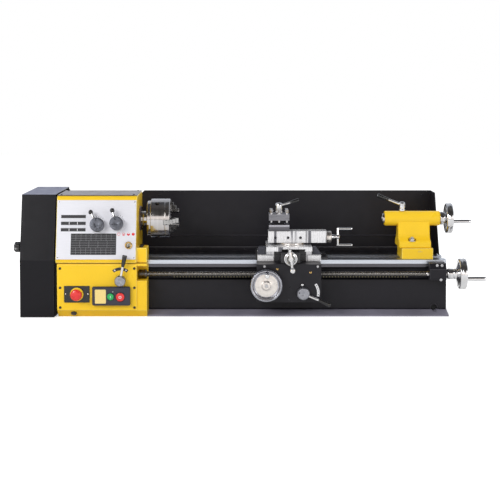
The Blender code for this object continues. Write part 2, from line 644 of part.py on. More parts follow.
def make_apron():
    apron = box("apron", (37, 237), (APRON_FRONT, APRON_REAR), (47, 165.7), BLACK)
    hollow = box("apron_hollow_cutter", (45, 229), (APRON_FRONT + 10, APRON_REAR + 5), (55, 157))
    way = bore_tool("leadscrew_way", (30, SCREW_Y, SCREW_Z), (245, SCREW_Y, SCREW_Z), SCREW_R + 2)
    x, z = CARRIAGE_WHEEL
    shaft = bore_tool("wheel_shaft_hole", (x, APRON_FRONT - 5, z), (x, APRON_FRONT + 15, z), 7.3)
    dial_room = bore_tool("dial_room", (CROSS_X, APRON_FRONT - 5, CROSS_Z), (CROSS_X, -127.9, CROSS_Z), 23)
    cut(apron, hollow, way, shaft, dial_room)


def make_apron_drive():
    wheel_at, pinion_at = CARRIAGE_WHEEL, (CARRIAGE_WHEEL[0] + pinion_offset(), pinion_z())
    x, z = wheel_at
    wheel = turned("carriage_handwheel", (x, 0, z), "Y",
                   ((-176, 14), (-166, 18), (-163, 38), (-175, 43), (-173, 50), (-160, 50.5),
                    (-156, 44), (-152, 20), (-140.3, 16), (-140.2, 7), (-112, 7)), STEEL, steps=24)
    grip = rod("carriage_grip", (x + 2, -165, z + 36), (x + 2, -215, z + 36), 5, tip=7.5)
    lean = math.radians(8)
    small = outline("wheel_gear", gear_points(wheel_at, WHEEL_TEETH, APRON_MODULE, lean), "Y", -124, -112)
    join(wheel, grip, small)
    reducer_lean = meshing_lean(wheel_at, WHEEL_TEETH, lean, pinion_at, REDUCER_TEETH)
    reducer = outline("rack_pinion", gear_points(pinion_at, REDUCER_TEETH, APRON_MODULE, reducer_lean),
                      "Y", -123, -114, STEEL, pivot=(pinion_at[0], -70, pinion_at[1]))
    near, far = ((pinion_at[0], y, pinion_at[1]) for y in (APRON_FRONT + 10 + GAP, -70))
    shaft = rod("pinion_shaft", near, far, 6)
    teeth = gear_points(pinion_at, PINION_TEETH, RACK_MODULE, math.pi / 2)
    gear = outline("pinion_gear", teeth, "Y", -78, -69)
    join(reducer, shaft, gear)


def make_half_nuts():
    x, opening = HALF_NUT
    for name, side in (("half_nut_upper", 1), ("half_nut_lower", -1)):
        middle = SCREW_Z + side * opening
        spread = sorted((middle + side * GAP, middle + side * 15))
        nut = box(name, (x - 15, x + 15), (-111, -84), spread, BRASS)
        left, right = (x - 20, SCREW_Y, middle), (x + 20, SCREW_Y, middle)
        cut(nut, bore_tool(name + "_thread", left, right, SCREW_R + GAP))
    hub_x, hub_z = 181.0, 76.0
    lean = math.radians(-23)
    way = Vector((math.cos(lean), 0, math.sin(lean)))
    middle = Vector((hub_x, -152, hub_z))
    hub = turned("half_nut_lever", (hub_x, 0, hub_z), "Y",
                 ((-160, 16), (-157, 19.5), (APRON_FRONT - GAP, 19.5)), STEEL)
    join(hub, rod("half_nut_arm", middle + way * 10, middle + way * 55, 4.2),
         rod("half_nut_grip", middle + way * 51, middle + way * 92, 5.2, tip=7.2))


def make_cross_slide():
    slide = box("cross_slide", (67, 211), (-100, 70), (200 + GAP, 214), STEEL)
    groove = outline("cross_dovetail_cutter", ((117.6, 198), (113.6, 207.3), (190.4, 207.3), (186.4, 198)),
                     "Y", -110, 80)
    cut(slide, groove)
    nut = box("cross_nut", (CROSS_X - 8, CROSS_X + 8), (-20, 10), (174, 209))
    join(slide, nut)
    cut(slide, bore_tool("cross_nut_thread", (CROSS_X, -30, CROSS_Z), (CROSS_X, 20, CROSS_Z), 6 + GAP))
    screw = turned("cross_screw", (CROSS_X, 0, CROSS_Z), "Y",
                   ((-159, 7), (-150, 7), (-149.5, 19), (-147, 21), (-129, 21), (-128.3, 19), (-128.2, 6),
                    (88, 6)), STEEL)
    lean = math.radians(-8)
    reach = Vector((math.sin(lean), 0, math.cos(lean))) * 32
    middle = Vector((CROSS_X, -155, CROSS_Z))
    bar = rod("cross_bar", middle - reach * 1.1, middle + reach * 1.1, 4)
    grips = [rod(f"cross_grip_{i}", end, end - Vector((0, 40, 0)), 4.5, tip=5.5)
             for i, end in enumerate((middle - reach, middle + reach))]
    join(screw, bar, *grips)


def dovetail(foot, head, low, high):
    """Cross-section (Y, Z) of the compound's rail: wider at the head than at the foot."""
    return ((SWIVEL_Y - foot, low), (SWIVEL_Y - head, high), (SWIVEL_Y + head, high), (SWIVEL_Y + foot, low))


def make_compound():
    base = rod("compound_base", (SWIVEL_X, SWIVEL_Y, 214 + GAP), (SWIVEL_X, SWIVEL_Y, 220), 42, STEEL,
               sides=24, pivot=(SWIVEL_X, SWIVEL_Y, 214))
    rail = outline("compound_rail", dovetail(11, 15, 218, 230), "X", SWIVEL_X - 52, SWIVEL_X + 52)
    nut = box("compound_nut", (SWIVEL_X - 10, SWIVEL_X + 10), (SWIVEL_Y - 7, SWIVEL_Y + 7), (228, 243))
    join(base, rail, nut)
    near, far = ((SWIVEL_X + offset, SWIVEL_Y, COMPOUND_Z) for offset in (-15, 15))
    cut(base, bore_tool("compound_thread", near, far, 5.3))
    slide = box("compound_slide", (74, 260), (-40, 12), (220 + GAP, 258), STEEL)
    groove = outline("compound_dovetail_cutter", dovetail(11.3, 15.6, 216, 230 + GAP), "X", 70, 265)
    slot = box("compound_slot_cutter", (96, 196), (SWIVEL_Y - 8, SWIVEL_Y + 8), (225, 245))
    bore = bore_tool("compound_bore", (100, SWIVEL_Y, COMPOUND_Z), (265, SWIVEL_Y, COMPOUND_Z), 5.4)
    cut(slide, groove, slot, bore)
    join(slide, rod("post_stud", (POST_X, POST_Y, 250), (POST_X, POST_Y, 311), 7.5))
    screw = turned("compound_screw", (0, SWIVEL_Y, COMPOUND_Z), "X",
                   ((112, 5), (260.2, 5), (260.3, 17), (262, 19), (275, 19), (277, 17), (278, 8), (303, 8)),
                   STEEL)
    middle = Vector((297, SWIVEL_Y, COMPOUND_Z))
    lean = math.radians(4)
    reach = Vector((0, math.sin(lean), math.cos(lean))) * 26
    grips = [rod(f"compound_grip_{i}", end - Vector((4, 0, 0)), end + Vector((47, 0, 0)), 3.6, tip=4.4)
             for i, end in enumerate((middle - reach, middle + reach))]
    join(screw, rod("compound_bar", middle - reach * 1.1, middle + reach * 1.1, 3.6), *grips)


def make_tool_post():
    half = POST_WIDTH / 2
    core = 16.5
    post = box("tool_post", (POST_X - half, POST_X + half), (POST_Y - half, POST_Y + half), (258 + GAP, 312),
               STEEL, pivot=(POST_X, POST_Y, 258))
    outer, inner = ([(POST_X + a * side, POST_Y + b * side) for a, b in ((-1, -1), (1, -1), (1, 1), (-1, 1))]
                    for side in (50, core))
    ring = outline("tool_slot_cutter", outer, "Z", 278, 292, holes=[inner])
    stud = bore_tool("stud_hole", (POST_X, POST_Y, 250), (POST_X, POST_Y, 320), 7.8)
    cut(post, ring, stud)
    hub = turned("tool_post_lever", (POST_X, POST_Y, 0), "Z", ((312.3, 12), (338, 12), (346, 8)), STEEL)
    start = Vector((POST_X, POST_Y, 336))
    end = Vector((172, POST_Y - 4, 355))
    join(hub, rod("post_lever_arm", start, end, 4),
         rod("post_lever_grip", start.lerp(end, 0.5), end, 5.5, tip=7))


# ---------------------------------------------------------------- tailstock

def make_tailstock():
    base = box("tailstock_base", (TAIL_LEFT, TAIL_RIGHT), (-60, 60), (BED_TOP + GAP, 205), YELLOW)
    key = box("tailstock_key", (TAIL_LEFT + 5, TAIL_RIGHT - 5), (1 - WAY_IN, WAY_IN - 1), (160, 180))
    stud = rod("clamp_stud", (535, 0, 136), (535, 0, 175), 7)
    plate = box("clamp_plate", (510, 560), (-40, 40), (126, 137))
    join(base, key, stud, plate)
    barrel = rod("tailstock_body", (447, 0, AXIS_Z), (624, 0, AXIS_Z), BARREL_R, YELLOW, sides=24)
    half = ((57, 205 + GAP), (56, 226), (40, 232), (27, 240), (24, 262), (20, 290))
    neck = outline("tailstock_neck", mirrored(half), "X", 489, 590)
    join(barrel, neck)
    cut(barrel, bore_tool("quill_bore", (440, 0, AXIS_Z), (600, 0, AXIS_Z), QUILL_R + GAP),
        bore_tool("tail_screw_bore", (590, 0, AXIS_Z), (630, 0, AXIS_Z), 7),
        bore_tool("nut_seat", (531, -45, 226), (531, -45, 260), 13))
    quill = turned("quill", (0, 0, AXIS_Z), "X", ((440, QUILL_R - 1), (441, QUILL_R), (590, QUILL_R)), STEEL,
                   bore=7.5, steps=20)
    cut(quill, rod("taper_cutter", (430, 0, AXIS_Z), (500, 0, AXIS_Z), 9.5, tip=7.2, sides=16))
    wheel = turned("tailstock_handwheel", (0, 0, AXIS_Z), "X",
                   ((482, 6), (624.2, 6), (624.3, 20), (627, 21), (640, 21), (641, 14), (643, 40),
                    (643, 48.7), (661, 48.7), (664, 46), (654, 38), (651, 18), (666, 14)), STEEL, steps=24)
    join(wheel, rod("tailstock_grip", (656, -35, AXIS_Z - 7), (720, -35, AXIS_Z - 7), 6))
    lock = turned("quill_lock_lever", (504, 0, 0), "Z",
                  ((AXIS_Z + BARREL_R + GAP, 10), (342, 10), (348, 6)), STEEL)
    join(lock, rod("lock_arm", (504, 0, 338), (425, -2, 369), 4),
         rod("lock_grip", (462, -1, 354.5), (425, -2, 369), 5.2, tip=6.6))
    rod("tailstock_clamp_nut", (531, -45, 226 + GAP), (531, -45, 238), 9.5, STEEL, sides=6,
        pivot=(531, -45, 230))


make_bed()
make_rack()
make_rear_guard()
make_headstock()
make_headstock_panel()
make_sight_glass()
make_selectors()
make_control_box()
make_estop()
make_switch_box()
make_feed_lever()
make_change_gears()
make_spindle()
make_pulley("spindle_pulley", (AXIS_Y, AXIS_Z), SPINDLE_PULLEY_R, 15 + GAP)
make_belt()
make_motor()
make_case_plate()
make_gear_cover()
make_chuck()
make_leadscrew()
make_saddle()
make_apron()
make_apron_drive()
make_half_nuts()
make_cross_slide()
make_compound()
make_tool_post()
make_tailstock()
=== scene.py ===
"""Bench-top metal lathe: finishes, fittings and studio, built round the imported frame.

Everything is in metres in the frame's own axes: X along the bed, -Y towards the operator, Z up.
"""

import math

import bmesh
import bpy
import numpy as np
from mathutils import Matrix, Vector


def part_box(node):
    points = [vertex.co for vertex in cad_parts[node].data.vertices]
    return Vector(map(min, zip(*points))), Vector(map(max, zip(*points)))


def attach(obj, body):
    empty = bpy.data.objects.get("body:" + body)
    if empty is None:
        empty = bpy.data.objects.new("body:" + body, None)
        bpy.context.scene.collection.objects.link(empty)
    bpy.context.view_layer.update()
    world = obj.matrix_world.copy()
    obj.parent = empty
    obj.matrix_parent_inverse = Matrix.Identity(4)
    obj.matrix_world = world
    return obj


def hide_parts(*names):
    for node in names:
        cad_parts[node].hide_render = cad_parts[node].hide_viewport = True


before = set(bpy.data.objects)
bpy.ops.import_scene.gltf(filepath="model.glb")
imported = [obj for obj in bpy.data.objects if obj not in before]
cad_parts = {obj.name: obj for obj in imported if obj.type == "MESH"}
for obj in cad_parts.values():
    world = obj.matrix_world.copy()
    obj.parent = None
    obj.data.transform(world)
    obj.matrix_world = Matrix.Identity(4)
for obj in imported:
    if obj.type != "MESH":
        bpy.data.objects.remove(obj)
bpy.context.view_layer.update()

# ------------------------------------------------------------------------------------ studio
# A long lens stands well back and a little above the ways, so that the machine is seen square on
# with the tops of its castings just showing.  The floor and the world are white to the camera.

scene = bpy.context.scene
scene.view_settings.view_transform = "Standard"

EYE = (0.0, -4.0, 0.714)
PITCH = math.radians(3.5)

lens = bpy.data.cameras.new("studio_camera")
lens.sensor_width = 36.0
lens.lens = 90.1
lens.shift_x = 0.010
lens.shift_y = -0.172
camera = bpy.data.objects.new("studio_camera", lens)
camera.location = EYE
camera.rotation_euler = (math.pi / 2 - PITCH, 0.0, 0.0)
scene.collection.objects.link(camera)
scene.camera = camera


def node(made, kind, inputs=None, **properties):
    """Adds a shader node; an input given as a socket is linked, any other value is set on it."""
    step = made.node_tree.nodes.new(kind)
    for key, value in properties.items():
        setattr(step, key, value)
    for key, value in (inputs or {}).items():
        if isinstance(value, bpy.types.NodeSocket):
            made.node_tree.links.new(value, step.inputs[key])
        else:
            step.inputs[key].default_value = value
    return step


def stepped(made, factor, *stops):
    """Value that runs through (position, value) stops as the factor goes from 0 to 1."""
    steps = node(made, "ShaderNodeValToRGB", {0: factor})
    marks = steps.color_ramp.elements
    while len(marks) < len(stops):
        marks.new(0.5)
    for mark, (position, value) in zip(marks, stops):
        mark.position = position
        mark.color = (value, value, value, 1.0)
    return steps.outputs[0]


def blended(made, factor, first, second):
    return node(made, "ShaderNodeMix", {0: factor, 2: first, 3: second}, data_type="FLOAT").outputs[0]


def tinted(made, factor, first, second, blend="MIX"):
    """Colour that goes from the first to the second; each is a colour or a socket."""
    ends = [end if isinstance(end, bpy.types.NodeSocket) else (*end, 1.0) for end in (first, second)]
    return node(made, "ShaderNodeMix", {0: factor, 6: ends[0], 7: ends[1]}, data_type="RGBA",
                blend_type=blend).outputs[2]


def ranged(made, factor, low, high, start=0.3, end=0.7):
    return node(made, "ShaderNodeMapRange", {0: factor, 1: start, 2: end, 3: low, 4: high}).outputs[0]


def maths(made, operation, first, second=0.5):
    return node(made, "ShaderNodeMath", {0: first, 1: second}, operation=operation).outputs[0]


def coordinate(made, letter, source="Object"):
    """One axis of the object's own coordinates, of its normals, or of the way a ray leaves it."""
    place = node(made, "ShaderNodeTexCoord")
    return node(made, "ShaderNodeSeparateXYZ", {0: place.outputs[source]}).outputs[letter]


def straight_view(made, rays):
    """1 for a ray that comes to the lens straight or through glass, 0 for any other."""
    return maths(made, "MAXIMUM", rays["Is Camera Ray"], rays["Is Transmission Ray"])


def light_world():
    """Studio room, by direction: even light from above for the paint, white to the camera.

    What metal mirrors behind the machine is a pale backdrop, dark overhead.  In front it is a grey
    floor and one bright strip just above eye level, dark over that.
    """
    world = bpy.data.worlds.new("studio_world")
    scene.world = world
    world.use_nodes = True
    height = coordinate(world, "Z", "Generated")
    rise = ranged(world, height, 0.0, 1.0, -1.0, 1.0)
    depth = ranged(world, coordinate(world, "Y", "Generated"), 0.0, 1.0, -0.2, 0.2)
    even = ranged(world, height, 0.19, 0.82, -0.25, 0.75)
    room = stepped(world, rise, (0.0, 0.35), (0.49, 0.65), (0.51, 1.25), (0.63, 1.25), (0.67, 0.05),
                   (0.94, 0.05), (1.0, 0.10))
    backdrop = stepped(world, rise, (0.0, 0.50), (0.50, 0.90), (0.62, 0.80), (0.80, 0.62), (0.92, 0.60),
                       (0.96, 0.08))
    rays = node(world, "ShaderNodeLightPath").outputs
    mirrored = blended(world, depth, room, backdrop)
    level = blended(world, rays["Is Glossy Ray"], even, mirrored)
    level = blended(world, straight_view(world, rays), level, 1.0)
    warm_to_cool = tinted(world, depth, (1.0, 0.93, 0.89), (0.88, 0.92, 1.0))
    cast = tinted(world, rays["Is Glossy Ray"], (1.0, 1.0, 1.0), warm_to_cool)
    background = world.node_tree.nodes["Background"]
    world.node_tree.links.new(cast, background.inputs["Color"])
    world.node_tree.links.new(level, background.inputs["Strength"])


def softbox(name, spot, target, size, watts, mirrored=True):
    """A rectangular lamp at a spot, turned to face a target, and whether metal mirrors it."""
    data = bpy.data.lights.new(name, "AREA")
    data.shape = "RECTANGLE"
    data.size, data.size_y = size
    data.energy = watts
    lamp = bpy.data.objects.new(name, data)
    lamp.location = spot
    lamp.rotation_euler = (Vector(target) - Vector(spot)).to_track_quat("-Z", "Y").to_euler()
    lamp.visible_glossy = mirrored
    scene.collection.objects.link(lamp)


def finish(name, roughness, metallic=0.0, coat=0.0, specular=0.5):
    """Starts a material; what is the same all over it is set straight on the shader."""
    made = bpy.data.materials.new(name)
    made.use_nodes = True
    shader = made.node_tree.nodes["Principled BSDF"]
    shader.inputs["Roughness"].default_value = roughness
    shader.inputs["Metallic"].default_value = metallic
    shader.inputs["Specular IOR Level"].default_value = specular
    shader.inputs["Coat Weight"].default_value = coat
    shader.inputs["Coat Roughness"].default_value = 0.12
    return made


def feed(made, socket, name):
    shader = made.node_tree.nodes["Principled BSDF"]
    made.node_tree.links.new(socket, shader.inputs[name])


def grain(made, density, detail=3.0):
    """Noise on the object's own coordinates, with so many lumps a metre along X, Y and Z."""
    place = node(made, "ShaderNodeTexCoord")
    spread = node(made, "ShaderNodeMapping", {"Vector": place.outputs["Object"], "Scale": density})
    return node(made, "ShaderNodeTexNoise",
                {"Vector": spread.outputs[0], "Scale": 1.0, "Detail": detail}).outputs[0]


def lay_floor():
    """Pale floor, shadowed like a real one, that glows to white as seen and a little in reflections."""
    half = 9.0
    mesh = bpy.data.meshes.new("studio_floor")
    mesh.from_pydata([(-half, -half, 0), (half, -half, 0), (half, half, 0), (-half, half, 0)], [],
                     [(0, 1, 2, 3)])
    floor = bpy.data.objects.new("studio_floor", mesh)
    scene.collection.objects.link(floor)
    paper = finish("pale_paper", 0.9, specular=0.1)
    feed(paper, ranged(paper, grain(paper, (60, 60, 60), 2), 0.80, 0.84, 0, 1), "Base Color")
    rays = node(paper, "ShaderNodeLightPath").outputs
    shown = blended(paper, rays["Is Glossy Ray"], straight_view(paper, rays), 0.2)
    paper.node_tree.nodes["Principled BSDF"].inputs["Emission Color"].default_value = (1.0, 1.0, 1.0, 1.0)
    feed(paper, maths(paper, "MULTIPLY", shown, 0.58), "Emission Strength")
    mesh.materials.append(paper)


light_world()
softbox("key_softbox", (-2.2, -2.6, 1.75), (-0.1, 0.0, 0.15), (1.8, 0.9), 50.0)
softbox("fill_softbox", (2.3, -2.5, 1.1), (0.1, 0.0, 0.2), (1.2, 1.0), 19.0)
softbox("back_softbox", (0.4, 2.6, 2.2), (0.0, 0.1, 0.2), (2.6, 1.0), 28.0, mirrored=False)
lay_floor()

# --------------------------------------------------------------------------------------- bed
# One grey-iron casting, painted black, with two ways ground bright.  It stands on its own splayed
# feet; the ground band runs over the tops and down the outer faces of the ways.


def relief(made, height, depth, strength=1.0):
    """Bump of a height field, as deep as given in metres."""
    bump = node(made, "ShaderNodeBump", {"Height": height, "Distance": depth, "Strength": strength})
    feed(made, bump.outputs[0], "Normal")


def scaled(colour, by):
    return tuple(min(1.0, channel * by) for channel in colour)


def painted(name, colour, roughness=0.38, peel=0.00012, coat=0.25, dirt=0.86, specular=0.5):
    """Sprayed enamel: slow drift of tone, fine dust that dulls the gloss, and orange peel."""
    made = finish(name, roughness, coat=coat, specular=specular)
    tone = tinted(made, ranged(made, grain(made, (7, 7, 7), 5), 0, 1), scaled(colour, dirt), colour)
    speck = ranged(made, grain(made, (900, 900, 900), 2), 0, 1, 0.62, 0.78)
    feed(made, tinted(made, speck, tone, scaled(colour, 0.7)), "Base Color")
    feed(made, ranged(made, grain(made, (38, 38, 38), 6), roughness - 0.07, roughness + 0.10), "Roughness")
    relief(made, grain(made, (260, 260, 260), 2), peel)
    return made


def ground(name, density, tone=(0.56, 0.56, 0.57), roughness=0.24, depth=0.000005):
    """Ground steel: long fine scratches along the grinding, in faintly different greys."""
    made = finish(name, roughness, metallic=1.0)
    lines = grain(made, density, 4)
    stain = grain(made, (9, 9, 9), 4)
    grey = tinted(made, ranged(made, lines, 0, 1), scaled(tone, 0.80), scaled(tone, 1.12))
    feed(made, tinted(made, ranged(made, stain, 0, 0.5), grey, scaled(tone, 0.72)), "Base Color")
    feed(made, ranged(made, lines, roughness - 0.06, roughness + 0.12), "Roughness")
    relief(made, lines, depth)
    return made


def dress(name, *materials, edge=0.0, steps=2, worn=None):
    """Gives a frame node its finish; with edge its corners are rounded, in the worn finish if given."""
    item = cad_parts[name]
    item.data.materials.clear()
    for made in materials:
        item.data.materials.append(made)
    if not edge:
        return item
    weld = item.modifiers.new("merge_corners", "WELD")
    weld.merge_threshold = 0.00001
    flat = item.modifiers.new("flat_faces", "DECIMATE")
    flat.decimate_type = "DISSOLVE"
    flat.angle_limit = math.radians(1.0)
    round_off = item.modifiers.new("rounded_edges", "BEVEL")
    round_off.width = edge
    round_off.segments = steps
    round_off.limit_method = "ANGLE"
    round_off.angle_limit = math.radians(35)
    round_off.use_clamp_overlap = True
    round_off.harden_normals = False
    if worn is not None:
        item.data.materials.append(worn)
        round_off.material = len(item.data.materials) - 1
    return item


def part_ground(name, colour, foot, level, density, tone=(0.56, 0.56, 0.57), shaded=0.0105):
    """Enamel on one casting, with ground steel above a level.

    Below the height of the foot the enamel is painted a paler grey, a painted reflection of the floor.
    The steel is painted dark over the first stretch above the level, a painted shade, and bright from there
    to the top.
    """
    made = finish(name, 0.35, specular=0.22)
    height = coordinate(made, "Z")
    bare = maths(made, "GREATER_THAN", height, level)
    lines = grain(made, density, 4)
    patches = ranged(made, grain(made, (7, 7, 7), 5), 0, 1)
    clean = tinted(made, patches, scaled(colour, 0.84), colour)
    # Paler grey for the enamel on the foot: a painted reflection of the floor on the black paint.
    painted_floor_sheen = tinted(made, patches, (0.150, 0.144, 0.180), (0.240, 0.230, 0.290))
    enamel = tinted(made, maths(made, "LESS_THAN", height, foot), clean, painted_floor_sheen)
    steel = tinted(made, ranged(made, lines, 0, 1), scaled(tone, 0.86), scaled(tone, 1.12))
    # Dark steel over the first stretch above the level: painted shade on the ways.
    steel = tinted(made, maths(made, "GREATER_THAN", height, level + shaded), (0.115, 0.112, 0.125), steel)
    feed(made, tinted(made, bare, enamel, steel), "Base Color")
    feed(made, bare, "Metallic")
    dull = ranged(made, grain(made, (38, 38, 38), 6), 0.29, 0.46)
    feed(made, blended(made, bare, dull, ranged(made, lines, 0.20, 0.36)), "Roughness")
    relief(made, grain(made, (260, 260, 260), 2), 0.00008)
    return made


BLACK = (0.0145, 0.0138, 0.0180)
black_enamel = painted("black_enamel", BLACK, roughness=0.42, coat=0.0, specular=0.22)
black_edge = painted("black_enamel_edge", (0.040, 0.038, 0.046), roughness=0.34, coat=0.0, specular=0.3)
bed_casting = part_ground("bed_casting", BLACK, 0.0142, 0.1470, (4, 1400, 1400), tone=(0.62, 0.66, 0.73))
dress("bed", bed_casting, edge=0.0009, worn=bed_casting)


def rounded(corners, radius, closed=False, steps=3):
    """Swaps each corner for a short quadratic curve that starts and ends a radius away from it."""
    corners = np.asarray(corners, float)
    blend = np.linspace(0, 1, steps + 1)[None, :, None]

    def reach(way):
        length = np.maximum(np.linalg.norm(way, axis=1, keepdims=True), 1e-9)
        return corners + way / length * np.minimum(radius, 0.45 * length)

    before, after = reach(np.roll(corners, 1, 0) - corners), reach(np.roll(corners, -1, 0) - corners)
    curve = ((1 - blend) ** 2 * before[:, None] + 2 * blend * (1 - blend) * corners[:, None]
             + blend ** 2 * after[:, None])
    if closed:
        return curve.reshape(-1, corners.shape[1])
    return np.vstack([corners[:1], curve[1:-1].reshape(-1, corners.shape[1]), corners[-1:]])


def quads(rows, columns, wrap=False):
    """Faces of a grid whose columns close on themselves; with wrap its rows do too."""
    i, j = np.meshgrid(np.arange(rows if wrap else rows - 1), np.arange(columns), indexing="ij")
    across, along = (j + 1) % columns, (i + 1) % rows
    corners = (i * columns + j, i * columns + across, along * columns + across, along * columns + j)
    return np.stack(corners, -1).reshape(-1, 4).tolist()


def end_faces(count, columns):
    """The two faces that close the first and the last ring of a grid."""
    return [list(range(columns))[::-1], list(range(count - columns, count))]


def side_ways(direction):
    """A direction as a unit vector, then two more, square to it and to each other."""
    way = np.asarray(direction, float) / np.linalg.norm(direction)
    helper = (0.0, 0.0, 1.0) if abs(way[2]) < 0.9 else (0.0, 1.0, 0.0)
    first = np.cross(way, helper)
    first /= np.linalg.norm(first)
    return way, first, np.cross(way, first)


def turned(stations, centre, direction, made, sides=48, soft=0.0005, bored=False, flutes=None, hexed=()):
    """Surface of revolution in distance along and angle.

    A point is the centre, plus the direction times the distance, plus the radius times the turning
    side vector.  Flutes (count, depth, from, to) scallop the radius between two distances by a cosine
    of the angle; hexed stations have the radius of a hexagon of that inner size.
    """
    way, first, second = side_ways(direction)
    marked = np.array([(*pair, 1.0 if i in hexed else 0.0) for i, pair in enumerate(stations)])
    if soft:
        marked = rounded(marked, soft, closed=bored)
    along, radius, flat = marked.T
    angle = np.linspace(0, 2 * np.pi, sides, endpoint=False)[None]
    hexagon = np.cos(np.pi / 6) / np.cos((angle % (np.pi / 3)) - np.pi / 6)
    out = radius[:, None] * (1 + np.round(flat)[:, None] * (1 / np.cos(np.pi / 6) * hexagon - 1))
    if flutes:
        count, depth, low, high = flutes
        inside = ((along >= low) & (along <= high))[:, None]
        out = out - inside * depth * 0.5 * (1 - np.cos(count * angle))
    spin = np.cos(angle)[..., None] * first + np.sin(angle)[..., None] * second
    points = np.asarray(centre, float) + along[:, None, None] * way + out[..., None] * spin
    return points.reshape(-1, 3), quads(len(along), sides, wrap=bored), made


def bar(start, end, made, *radii, sides=24, soft=0.0006):
    """Round bar between two points; radii are (fraction of the length, radius) pairs, or one radius."""
    radii = ((0, *radii), (1, *radii)) if len(radii) == 1 else radii
    start, end = np.asarray(start, float), np.asarray(end, float)
    length = np.linalg.norm(end - start)
    stations = [(0.0, 0.0)] + [(part * length, radius) for part, radius in radii] + [(length, 0.0)]
    return turned(stations, start, end - start, made, sides, soft)


RIGHT, LEFT, FRONT, TOP = (1, 0, 0), (-1, 0, 0), (0, -1, 0), (0, 0, 1)
ALONG = {"X": ((0, 0, 0), (0, 1, 0), TOP, RIGHT),
         "Y": ((0, 0, 0), RIGHT, TOP, (0, 1, 0)),
         "-Y": ((0, 0, 0), RIGHT, TOP, FRONT),
         "Z": ((0, 0, 0), RIGHT, (0, 1, 0), TOP)}


def prism(outline, low, high, axis, made, edge=0.0):
    """A closed outline carried from low to high along an axis, with its end edges chamfered.

    The axis is a name in ALONG, or (origin, first side vector, second side vector, direction).  A
    chamfered end is the outline moved inwards along the bisector at each corner.
    """
    axis = ALONG[axis] if isinstance(axis, str) else axis
    origin, first, second, way = (np.asarray(part, float) for part in axis)
    flat = np.asarray(outline, float)
    rings = [(flat, low), (flat, high)]
    if edge:
        ahead = np.roll(flat, -1, 0) - flat
        ahead /= np.linalg.norm(ahead, axis=1, keepdims=True)
        turn = np.sign(np.sum(flat[:, 0] * np.roll(flat[:, 1], -1) - flat[:, 1] * np.roll(flat[:, 0], -1)))
        out = np.stack([ahead[:, 1], -ahead[:, 0]], 1) * turn
        behind = np.roll(out, 1, 0)
        inner = flat - edge * (out + behind) / np.maximum(1 + np.sum(out * behind, 1, keepdims=True), 0.3)
        rings = [(inner, low), (flat, low + edge), (flat, high - edge), (inner, high)]
    points = np.vstack([origin + ring[:, :1] * first + ring[:, 1:] * second + level * way
                        for ring, level in rings])
    return points, quads(len(rings), len(flat)) + end_faces(len(points), len(flat)), made


def rectangle(left, right, low, high, corner=0.0, steps=3):
    shape = [(left, low), (right, low), (right, high), (left, high)]
    return rounded(shape, corner, closed=True, steps=steps) if corner else np.array(shape)


def disc(middle, radius, sides=32, start=0.0, end=360.0):
    turn = np.radians(np.linspace(start, end, sides, endpoint=end - start < 360))
    return np.stack([middle[0] + radius * np.cos(turn), middle[1] + radius * np.sin(turn)], 1)


def arc_band(middle, inner, outer, start, end, sides=24):
    """Flat band between two radii, from one angle to another, in degrees."""
    return np.vstack([disc(middle, inner, sides, start, end), disc(middle, outer, sides, start, end)[::-1]])


def piece(name, body, *shapes, stands_for=(), smooth=32.0):
    """Joins closed surfaces into one mesh, merges its poles, turns its faces out and rides it on a body."""
    finishes, points, faces, pick, count = [], [], [], [], 0
    for place, cells, made in shapes:
        if made not in finishes:
            finishes.append(made)
        points.append(place)
        faces += [[count + corner for corner in cell] for cell in cells]
        pick += [finishes.index(made)] * len(cells)
        count += len(place)
    mesh = bpy.data.meshes.new(name)
    mesh.from_pydata(np.vstack(points), [], faces)
    mesh.polygons.foreach_set("material_index", pick)
    for made in finishes:
        mesh.materials.append(made)
    work = bmesh.new()
    work.from_mesh(mesh)
    bmesh.ops.remove_doubles(work, verts=work.verts, dist=1e-7)
    bmesh.ops.dissolve_degenerate(work, edges=work.edges, dist=1e-8)
    bmesh.ops.recalc_face_normals(work, faces=work.faces)
    work.to_mesh(mesh)
    work.free()
    mesh.shade_smooth()
    mesh.set_sharp_from_angle(angle=math.radians(smooth))
    item = bpy.data.objects.new(name, mesh)
    scene.collection.objects.link(item)
    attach(item, body)
    if stands_for:
        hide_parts(*stands_for)
    return item


def cap_screw(spot, direction, made, radius=0.004, height=0.0035):
    """Socket cap screw: a round head with a hexagonal pocket in its top."""
    inner = radius * 0.52
    stations = [(0, 0), (0, radius), (height, radius), (height, inner), (height * 0.35, inner),
                (height * 0.35, 0)]
    return turned(stations, spot, direction, made, sides=24, soft=0.0003, hexed=(3, 4))


black_oxide = ground("black_oxide", (300, 300, 300), tone=(0.055, 0.055, 0.062), roughness=0.34)
FOOT_HOLE = (0.598, 0.019)
piece("foot_hole_rim", "frame",
      turned([(0, 0.0100), (0, 0.0120), (0.0012, 0.0120), (0.0012, 0.0100)],
             (FOOT_HOLE[0], -0.0708, FOOT_HOLE[1]), FRONT, black_edge, bored=True))

# -------------------------------------------------------------------------------------- rack
# Straight-cut steel rack, oiled and brown with age, let in under the front way with its teeth
# down and held by socket screws from the front.

rack_steel = ground("oiled_rack_steel", (120, 500, 500), tone=(0.17, 0.155, 0.105), roughness=0.38)
dress("rack", rack_steel)
rack_low, rack_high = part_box("rack")
RACK_SCREW_Z = 0.1236
screw_line = np.linspace(rack_low[0] + 0.03, rack_high[0] - 0.03, 8)
piece("rack_screws", "frame",
      *[cap_screw((x, rack_low[1] + 0.0002, RACK_SCREW_Z), FRONT, black_oxide, 0.0026, 0.0012)
        for x in screw_line])

# -------------------------------------------------------------------------------- rear guard
# Splash guard and tray folded from black sheet.  Its free edges are hemmed, and a row of pan-head
# screws holds the wall to the tray.

sheet_enamel = painted("guard_enamel", (0.0120, 0.0112, 0.0155), roughness=0.36, peel=0.00005, coat=0.0,
                       specular=0.25)
dress("rear_guard", sheet_enamel)


